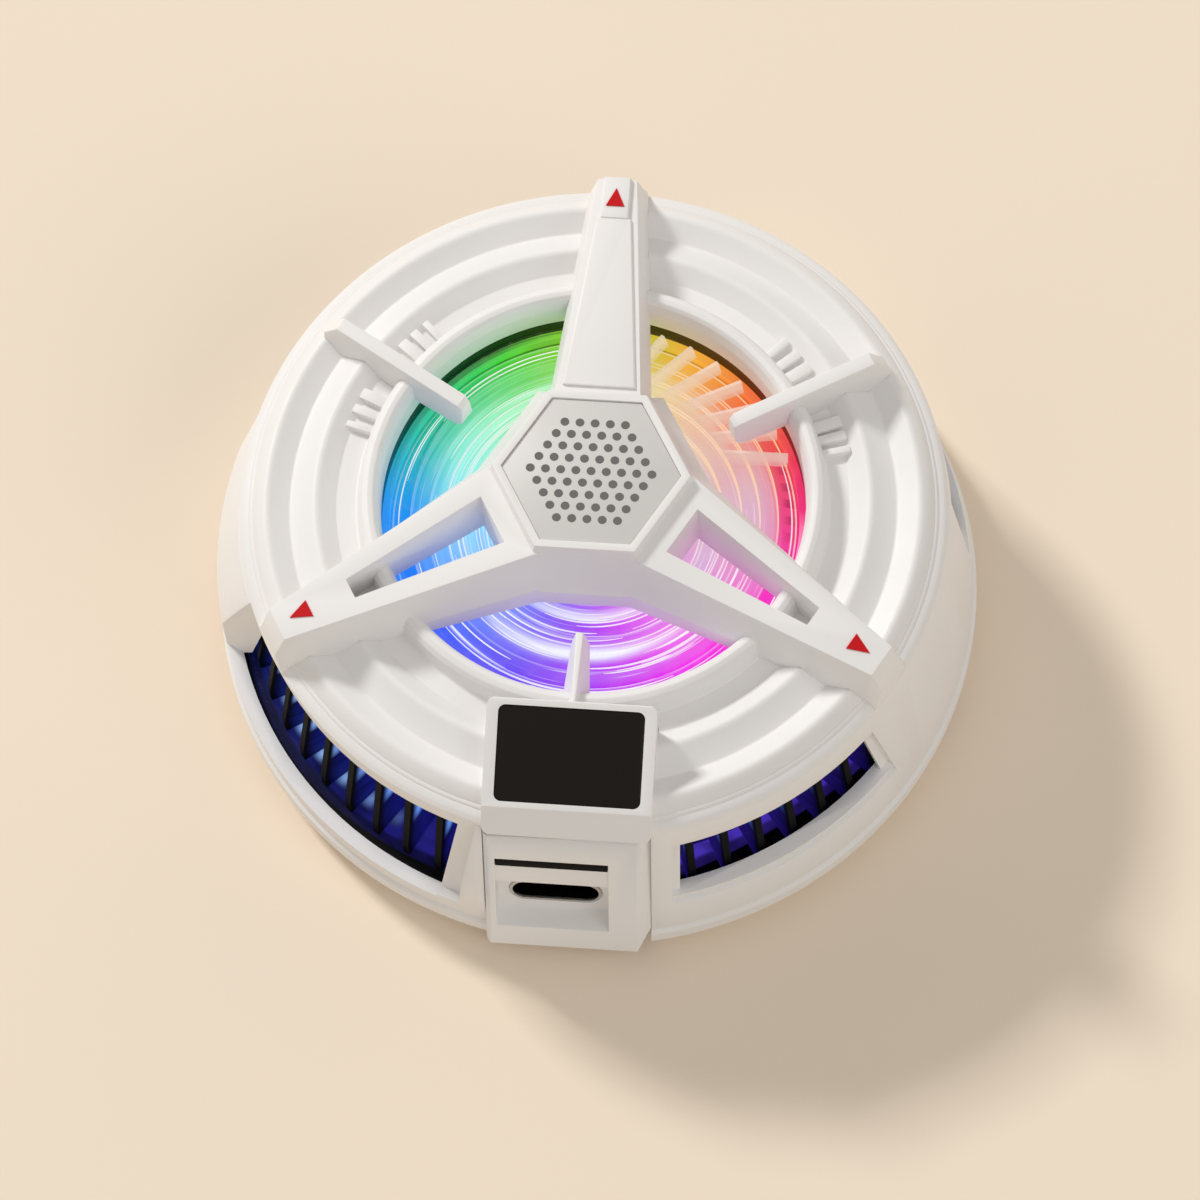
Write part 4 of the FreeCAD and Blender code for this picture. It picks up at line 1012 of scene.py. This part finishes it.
def blade_tree(material):
    """Blades spaced evenly about the axis, each a tipped box at an offset."""
    tree, entry, ids = seedbed("blades", Count="Int", Inner="Float", Outer="Float", Chord="Float",
                               Thickness="Float", Offset="Float", Pitch="Float", Height="Float")
    length = maths(tree, "SUBTRACT", entry["Outer"], entry["Inner"])
    middle = product(tree, maths(tree, "ADD", entry["Outer"], entry["Inner"]), 0.5)
    size = vector(tree, length, entry["Chord"], entry["Thickness"])
    box = feed(tree, "GeometryNodeMeshCube", size, 2, 2, 2).outputs["Mesh"]
    blade = feed(tree, "GeometryNodeTransform", box)
    tree.links.new(vector(tree, middle, entry["Offset"], entry["Height"]), blade.inputs["Translation"])
    tipped = feed(tree, "FunctionNodeEulerToRotation", vector(tree, entry["Pitch"], 0.0, 0.0)).outputs[0]
    tree.links.new(tipped, blade.inputs["Rotation"])
    spots = feed(tree, "GeometryNodePoints", entry["Count"]).outputs[0]
    index = feed(tree, "GeometryNodeInputIndex").outputs[0]
    step = maths(tree, "DIVIDE", 2.0 * math.pi, entry["Count"])
    angle = product(tree, index, step)
    facing = feed(tree, "FunctionNodeEulerToRotation", vector(tree, 0.0, 0.0, angle)).outputs[0]
    copies = feed(tree, "GeometryNodeInstanceOnPoints", spots)
    tree.links.new(blade.outputs[0], copies.inputs["Instance"])
    tree.links.new(facing, copies.inputs["Rotation"])
    # Painted light: each blade stores how much of the glow it shows, by its direction.
    seen = maths(tree, "ABSOLUTE", maths(tree, "SUBTRACT", angle, math.radians(GLOW_ANGLE)))
    painted_glow = feed(tree, "ShaderNodeMapRange", seen, math.radians(GLOW_FULL), math.radians(GLOW_NONE),
                1.0, 0.0, interpolation_type="SMOOTHSTEP").outputs[0]
    named = feed(tree, "GeometryNodeStoreNamedAttribute", copies.outputs[0], domain="INSTANCE")
    named.inputs["Name"].default_value = "painted_glow"
    tree.links.new(painted_glow, named.inputs["Value"])
    close(tree, named.outputs[0], material)
    return tree, ids


def lathe(name, profile, material, segments=192, smooth=35.0):
    """Closed outline of (radius, height) points turned about the axis."""
    count = len(profile)
    points = [polar(r, 360.0 * i / segments, z) for i in range(segments) for r, z in profile]
    faces = []
    for i in range(segments):
        near, far = i * count, ((i + 1) % segments) * count
        for j in range(count):
            k = (j + 1) % count
            faces.append((near + j, far + j, far + k, near + k))
    return piece(name, points, faces, material, smooth)


def rounded(corners, steps=4):
    """Outline from (radius, height, fillet) corners, with each fillet as a short arc."""
    outline = []
    for i, (r, z, fillet) in enumerate(corners):
        here = Vector((r, z))
        before = Vector(corners[i - 1][:2]) - here
        after = Vector(corners[(i + 1) % len(corners)][:2]) - here
        if fillet <= 0:
            outline.append(tuple(here))
            continue
        half = before.angle(after) / 2
        reach = min(fillet / math.tan(half), before.length * 0.49, after.length * 0.49)
        start, end = here + before.normalized() * reach, here + after.normalized() * reach
        for k in range(steps + 1):
            t = k / steps
            outline.append(tuple(start * (1 - t) ** 2 + here * 2 * t * (1 - t) + end * t ** 2))
    return outline


tree, ids = blade_tree(blade_clear)
blades = grown("fan_blades", tree, ids, "rotor", "clear_rotor", 20.0, Count=BLADE_COUNT,
               Inner=math.sqrt(HUB_R ** 2 - BLADE_OFFSET ** 2) * MM,
               Outer=math.sqrt(BLADE_R ** 2 - BLADE_OFFSET ** 2) * MM, Chord=BLADE_CHORD * MM,
               Thickness=BLADE_THICK * MM, Offset=BLADE_OFFSET * MM, Pitch=math.radians(BLADE_PITCH),
               Height=BLADE_MID * MM)
hub = lathe("fan_hub", rounded(HUB_OUTLINE), blade_clear)
rim = lathe("fan_rim", rounded(RIM_OUTLINE), blade_clear)
for obj in (hub, rim):
    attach(obj, "rotor")
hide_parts("fan_rotor")

# %% [markdown]
# ## Streaks of light
# Fine ridges on the louvre rings shine as bright arcs, a painted highlight that stands in for spun
# streaks of light. They are thin strips bent round the axis. A straight strip keeps how far along
# and how far across each of its points lies; each copy draws a radius, a start, a length and a width
# at random from a fixed seed, and the points are then moved onto the arc. Every louvre slopes down
# outwards, so the height follows the radius.

# %% Arcs on the lit plate
def arc_tree(name, material):
    """Thin arcs about the axis, with random radius, start, sweep and width."""
    tree, entry, ids = seedbed(name, Count="Int", Inner="Float", Outer="Float", Start="Float",
                               Finish="Float", Shortest="Float", Longest="Float", Width="Float",
                               Thickness="Float", Height="Float", Near="Float", Pitch="Float",
                               Slope="Float", Seed="Int")
    strip = feed(tree, "GeometryNodeMeshCube", (1.0, 1.0, 1.0), 25, 2, 2).outputs["Mesh"]
    here = feed(tree, "GeometryNodeInputPosition").outputs[0]
    kept = feed(tree, "GeometryNodeStoreNamedAttribute", strip, data_type="FLOAT_VECTOR")
    kept.inputs["Name"].default_value = "strip"
    tree.links.new(here, kept.inputs["Value"])
    spots = feed(tree, "GeometryNodePoints", entry["Count"]).outputs[0]
    copies = feed(tree, "GeometryNodeInstanceOnPoints", spots)
    tree.links.new(kept.outputs[0], copies.inputs["Instance"])
    index = feed(tree, "GeometryNodeInputIndex").outputs[0]

    def drawn(salt, low, high):
        """Random number for each copy, between two limits."""
        made = feed(tree, "FunctionNodeRandomValue", data_type="FLOAT")
        for label, value in (("Min", low), ("Max", high)):
            socket = [s for s in made.inputs if s.name == label and s.type == "VALUE"][0]
            if isinstance(value, bpy.types.NodeSocket):
                tree.links.new(value, socket)
            else:
                socket.default_value = value
        tree.links.new(index, made.inputs["ID"])
        tree.links.new(maths(tree, "ADD", entry["Seed"], float(salt)), made.inputs["Seed"])
        return [s for s in made.outputs if s.type == "VALUE" and s.enabled][0]

    geometry = copies.outputs[0]
    draws = {"ring": drawn(1, entry["Inner"], entry["Outer"]),
             "begin": drawn(2, entry["Start"], entry["Finish"]),
             "sweep": drawn(3, entry["Shortest"], entry["Longest"]),
             "wide": drawn(4, 0.5, 1.0)}
    for label, value in draws.items():
        named = feed(tree, "GeometryNodeStoreNamedAttribute", geometry, domain="INSTANCE")
        named.inputs["Name"].default_value = label
        tree.links.new(value, named.inputs["Value"])
        geometry = named.outputs[0]
    plain = feed(tree, "GeometryNodeRealizeInstances", geometry).outputs[0]

    def read(label, kind="FLOAT"):
        """Value that was stored under a name."""
        made = feed(tree, "GeometryNodeInputNamedAttribute", data_type=kind)
        made.inputs["Name"].default_value = label
        return [s for s in made.outputs if s.name == "Attribute" and s.enabled][0]

    parts = feed(tree, "ShaderNodeSeparateXYZ", read("strip", "FLOAT_VECTOR")).outputs
    angle = scaled(tree, maths(tree, "ADD", parts["X"], 0.5), read("sweep"), read("begin"))
    from_middle = maths(tree, "ABSOLUTE", product(tree, parts["X"], 2.0))
    taper = maths(tree, "SUBTRACT", 1.0, product(tree, maths(tree, "POWER", from_middle, 3.0), 0.9))
    aside = product(tree, product(tree, parts["Y"], entry["Width"]), product(tree, read("wide"), taper))
    radius = maths(tree, "SUBTRACT", read("ring"), aside)
    across = maths(tree, "MODULO", maths(tree, "SUBTRACT", radius, entry["Near"]), entry["Pitch"])
    lower = maths(tree, "SUBTRACT", entry["Height"], product(tree, across, entry["Slope"]))
    height = scaled(tree, parts["Z"], entry["Thickness"], lower)
    place = vector(tree, product(tree, radius, maths(tree, "COSINE", angle)),
                   product(tree, radius, maths(tree, "SINE", angle)), height)
    bent = feed(tree, "GeometryNodeSetPosition", plain)
    tree.links.new(place, bent.inputs["Position"])
    close(tree, bent.outputs[0], material)
    return tree, ids


DECK_TOP = 19.8
LOUVRE_SLOPE = 0.5       # drop of a louvre for each millimetre outwards
RIDGE_COUNT = 46
RIDGE_SEED = 7
RIDGE_RADII = (9.6, 19.2)
RIDGE_ANGLES = (92.0, 325.0)
RIDGE_SWEEPS = (0.5, 1.5)        # radians
RIDGE_WIDTH = 0.15
RIDGE_THICK = 0.08
ridges, ridge_ids = arc_tree("ridges", ridge_glow)
grown("light_ridges", ridges, ridge_ids, "case", "light_deck", Count=RIDGE_COUNT,
      Inner=RIDGE_RADII[0] * MM, Outer=RIDGE_RADII[1] * MM, Start=math.radians(RIDGE_ANGLES[0]),
      Finish=math.radians(RIDGE_ANGLES[1]), Shortest=RIDGE_SWEEPS[0], Longest=RIDGE_SWEEPS[1],
      Width=RIDGE_WIDTH * MM, Thickness=RIDGE_THICK * MM, Height=(DECK_TOP + 0.05) * MM,
      Near=DECK_IN * MM, Pitch=LOUVRE_PITCH * MM, Slope=LOUVRE_SLOPE, Seed=RIDGE_SEED)

# %% [markdown]
# ## Two thin rings
# The black floor behind the windows ends in a low rim, and the lit plate in a bright one that
# stands up to the wall of the fan's well. Both are plain outlines turned about the axis.

# %% Thin rings
TRIM_OUTLINE = ((35.22, 5.98, 0), (35.97, 5.98, 0), (35.97, 6.2, 0), (35.22, 6.2, 0))
EDGE_OUTLINE = ((19.9, 18.2, 0), (DECK_OUT, 18.2, 0), (DECK_OUT, 20.1, 0), (19.9, DECK_TOP, 0))
trim = lathe("floor_trim", rounded(TRIM_OUTLINE), vent_black)
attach(trim, "case")
edge = lathe("light_edge", rounded(EDGE_OUTLINE), deck_glow)
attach(edge, "case")
print("rings", round(TRIM_OUTLINE[1][0] - TRIM_OUTLINE[0][0], 2), "and",
      round(EDGE_OUTLINE[1][0] - EDGE_OUTLINE[0][0], 2), "mm wide")

# %% [markdown]
# ## Ring cover
# The cover is a body turned about the fan axis, so it is made the same way: an outline of corners,
# each with its own fillet, turned on a lathe. Its two saw-tooth crests are the roundest, and two
# scored lines run round the outer slope. A block then takes out the place of the front box.

# %% Ring cover
def scored(first, last, stations, width=0.12, depth=0.07):
    """Corners of fine V grooves on the straight line between two corners of an outline."""
    first, last = Vector(first), Vector(last)
    along = (last - first).normalized()
    inward = Vector((-along.y, along.x))
    cuts = []
    for station in stations:
        middle = first + along * station
        cuts += [(*(middle + shift), 0) for shift in (along * -width, inward * depth, along * width)]
    return cuts


EAVE = (33.9, 23.1)
CREST = (31.43, 24.9)
SCORES = (0.75, 1.25)            # distances of the two lines from the eave
COVER_OUTLINE = (
    [(34.25, 22.3, 0), (34.25, 22.75, 0.15), (*EAVE, 0.2)]
    + scored(EAVE, CREST, SCORES)
    + [(*CREST, 0.75), (29.25, 23.55, 0.3), (26.64, 25.35, 0.75), (24.75, 23.9, 0.25),
       (22.75, 23.9, 0.25), (22.45, 25.8, 0.4), (22.1, 26.35, 0.3), (21.6, 26.6, 0.3),
       (21.1, 26.5, 0.3), (20.8, 26.1, 0.4), (20.5, 24.9, 0.3), (20.5, 22.3, 0.1), (24.7, 22.3, 0),
       (26.6, 23.7, 0), (29.25, 21.95, 0), (31.4, 23.3, 0), (31.75, 23.0, 0), (31.75, 20.6, 0),
       (32.5, 20.6, 0), (32.5, 22.3, 0)]
)
FRONT_BOX = ((-8.0, -40.0, 15.0), (8.0, -22.95, 40.0))
COVER_CREASE = 40.0
cover = lathe("ring_cover", rounded(COVER_OUTLINE, 5), white_case, 256, COVER_CREASE)
shaded(cut_away(cover, *FRONT_BOX), COVER_CREASE)
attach(cover, "case")
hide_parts("top_cover")
print("cover", len(cover.data.polygons), "faces")

# %% [markdown]
# ## Ribs in the inner groove
# On both sides of each side fin three small ribs bridge the inner groove. A row is one block,
# turned a step further for each copy and a little narrower each time.

# %% Groove ribs
def rib_tree(material):
    """Row of blocks that bridge a groove, each a step further round and narrower."""
    tree, entry, ids = seedbed("ribs", Count="Int", First="Float", Step="Float", Near="Float",
                               Far="Float", Low="Float", High="Float", Wide="Float", Less="Float")
    half = {}
    for label, one, two in (("run", "Near", "Far"), ("rise", "Low", "High")):
        half[label] = (maths(tree, "SUBTRACT", entry[two], entry[one]),
                       product(tree, maths(tree, "ADD", entry[two], entry[one]), 0.5))
    size = vector(tree, half["run"][0], entry["Wide"], half["rise"][0])
    box = feed(tree, "GeometryNodeMeshCube", size, 2, 2, 2).outputs["Mesh"]
    block = feed(tree, "GeometryNodeTransform", box)
    tree.links.new(vector(tree, half["run"][1], 0.0, half["rise"][1]), block.inputs["Translation"])
    index = feed(tree, "GeometryNodeInputIndex").outputs[0]
    angle = scaled(tree, index, entry["Step"], entry["First"])
    narrow = maths(tree, "SUBTRACT", 1.0, product(tree, index, entry["Less"]))
    spots = feed(tree, "GeometryNodePoints", entry["Count"]).outputs[0]
    copies = feed(tree, "GeometryNodeInstanceOnPoints", spots)
    tree.links.new(block.outputs[0], copies.inputs["Instance"])
    facing = feed(tree, "FunctionNodeEulerToRotation", vector(tree, 0.0, 0.0, angle)).outputs[0]
    tree.links.new(facing, copies.inputs["Rotation"])
    tree.links.new(vector(tree, 1.0, narrow, 1.0), copies.inputs["Scale"])
    close(tree, copies.outputs[0], material)
    return tree, ids


FIN_ANGLES = {"left": 149.0, "right": 30.0}
RIB_ROWS = {"after": (8.0, 4.0), "before": (-7.0, -3.5)}     # degrees from the fin, and from rib to rib
RIB_COUNT = 3
RIB_EDGE = 0.12
RIB_SPAN = (22.6, 25.3)
RIB_HEIGHTS = (23.3, 24.7)
RIB_WIDTH = 1.2
ribs, rib_ids = rib_tree(white_case)
for fin, angle in FIN_ANGLES.items():
    for place, (offset, step) in RIB_ROWS.items():
        grown("groove_ribs_" + fin + "_" + place, ribs, rib_ids, "case", "white_case", 35.0, RIB_EDGE,
              Count=RIB_COUNT, First=math.radians(angle + offset), Step=math.radians(step),
              Near=RIB_SPAN[0] * MM, Far=RIB_SPAN[1] * MM, Low=RIB_HEIGHTS[0] * MM,
              High=RIB_HEIGHTS[1] * MM, Wide=RIB_WIDTH * MM, Less=0.2)

# %% [markdown]
# ## Dots on the hub
# The plate in the hub carries a plain grid of printed round dots. They lie on a six-sided grid,
# kept inside a circle, and odd rows are shifted by half a pitch.

# %% Dots on the hub plate
DOTS_A_SIDE = 11
DOT_PITCH = 1.45
DOT_REACH = 5.9
DOT_RADIUS = 0.42
DOT_CORNERS = 20
INK_THICK = 0.04
PLATE_TOP = 30.905       # a hair above the plate


def dot_tree(material):
    """Flat dots on a six-sided grid, inside a circle."""
    tree, entry, ids = seedbed("dots", Side="Int", Pitch="Float", Reach="Float", Dot="Float",
                               Thickness="Float", Height="Float")
    rows = product(tree, entry["Side"], entry["Side"])
    index = feed(tree, "GeometryNodeInputIndex").outputs[0]
    row = maths(tree, "FLOOR", maths(tree, "DIVIDE", index, entry["Side"]))
    column = maths(tree, "SUBTRACT", index, product(tree, row, entry["Side"]))
    middle = maths(tree, "FLOOR", maths(tree, "DIVIDE", entry["Side"], 2.0))
    shift = product(tree, maths(tree, "MODULO", row, 2.0), 0.5)
    odd = product(tree, maths(tree, "MODULO", middle, 2.0), 0.5)
    x = maths(tree, "ADD", maths(tree, "SUBTRACT", column, middle), maths(tree, "SUBTRACT", shift, odd))
    x = product(tree, x, entry["Pitch"])
    row_pitch = product(tree, entry["Pitch"], math.sqrt(0.75))
    y = product(tree, maths(tree, "SUBTRACT", row, middle), row_pitch)
    spots = feed(tree, "GeometryNodePoints", rows, vector(tree, x, y, entry["Height"])).outputs[0]
    away = maths(tree, "SQRT", maths(tree, "ADD", product(tree, x, x), product(tree, y, y)))
    outside = maths(tree, "GREATER_THAN", away, entry["Reach"])
    kept = feed(tree, "GeometryNodeDeleteGeometry", spots, outside)
    dot = feed(tree, "GeometryNodeMeshCylinder")
    dot.inputs["Vertices"].default_value = DOT_CORNERS
    tree.links.new(entry["Dot"], dot.inputs["Radius"])
    tree.links.new(entry["Thickness"], dot.inputs["Depth"])
    copies = feed(tree, "GeometryNodeInstanceOnPoints", kept.outputs[0])
    tree.links.new(dot.outputs["Mesh"], copies.inputs["Instance"])
    close(tree, copies.outputs[0], material)
    return tree, ids


dots, dot_ids = dot_tree(dark_ink)
grown("hub_dots", dots, dot_ids, "case", "grey_plate", Side=DOTS_A_SIDE, Pitch=DOT_PITCH * MM,
      Reach=DOT_REACH * MM, Dot=DOT_RADIUS * MM, Thickness=INK_THICK * MM, Height=PLATE_TOP * MM)
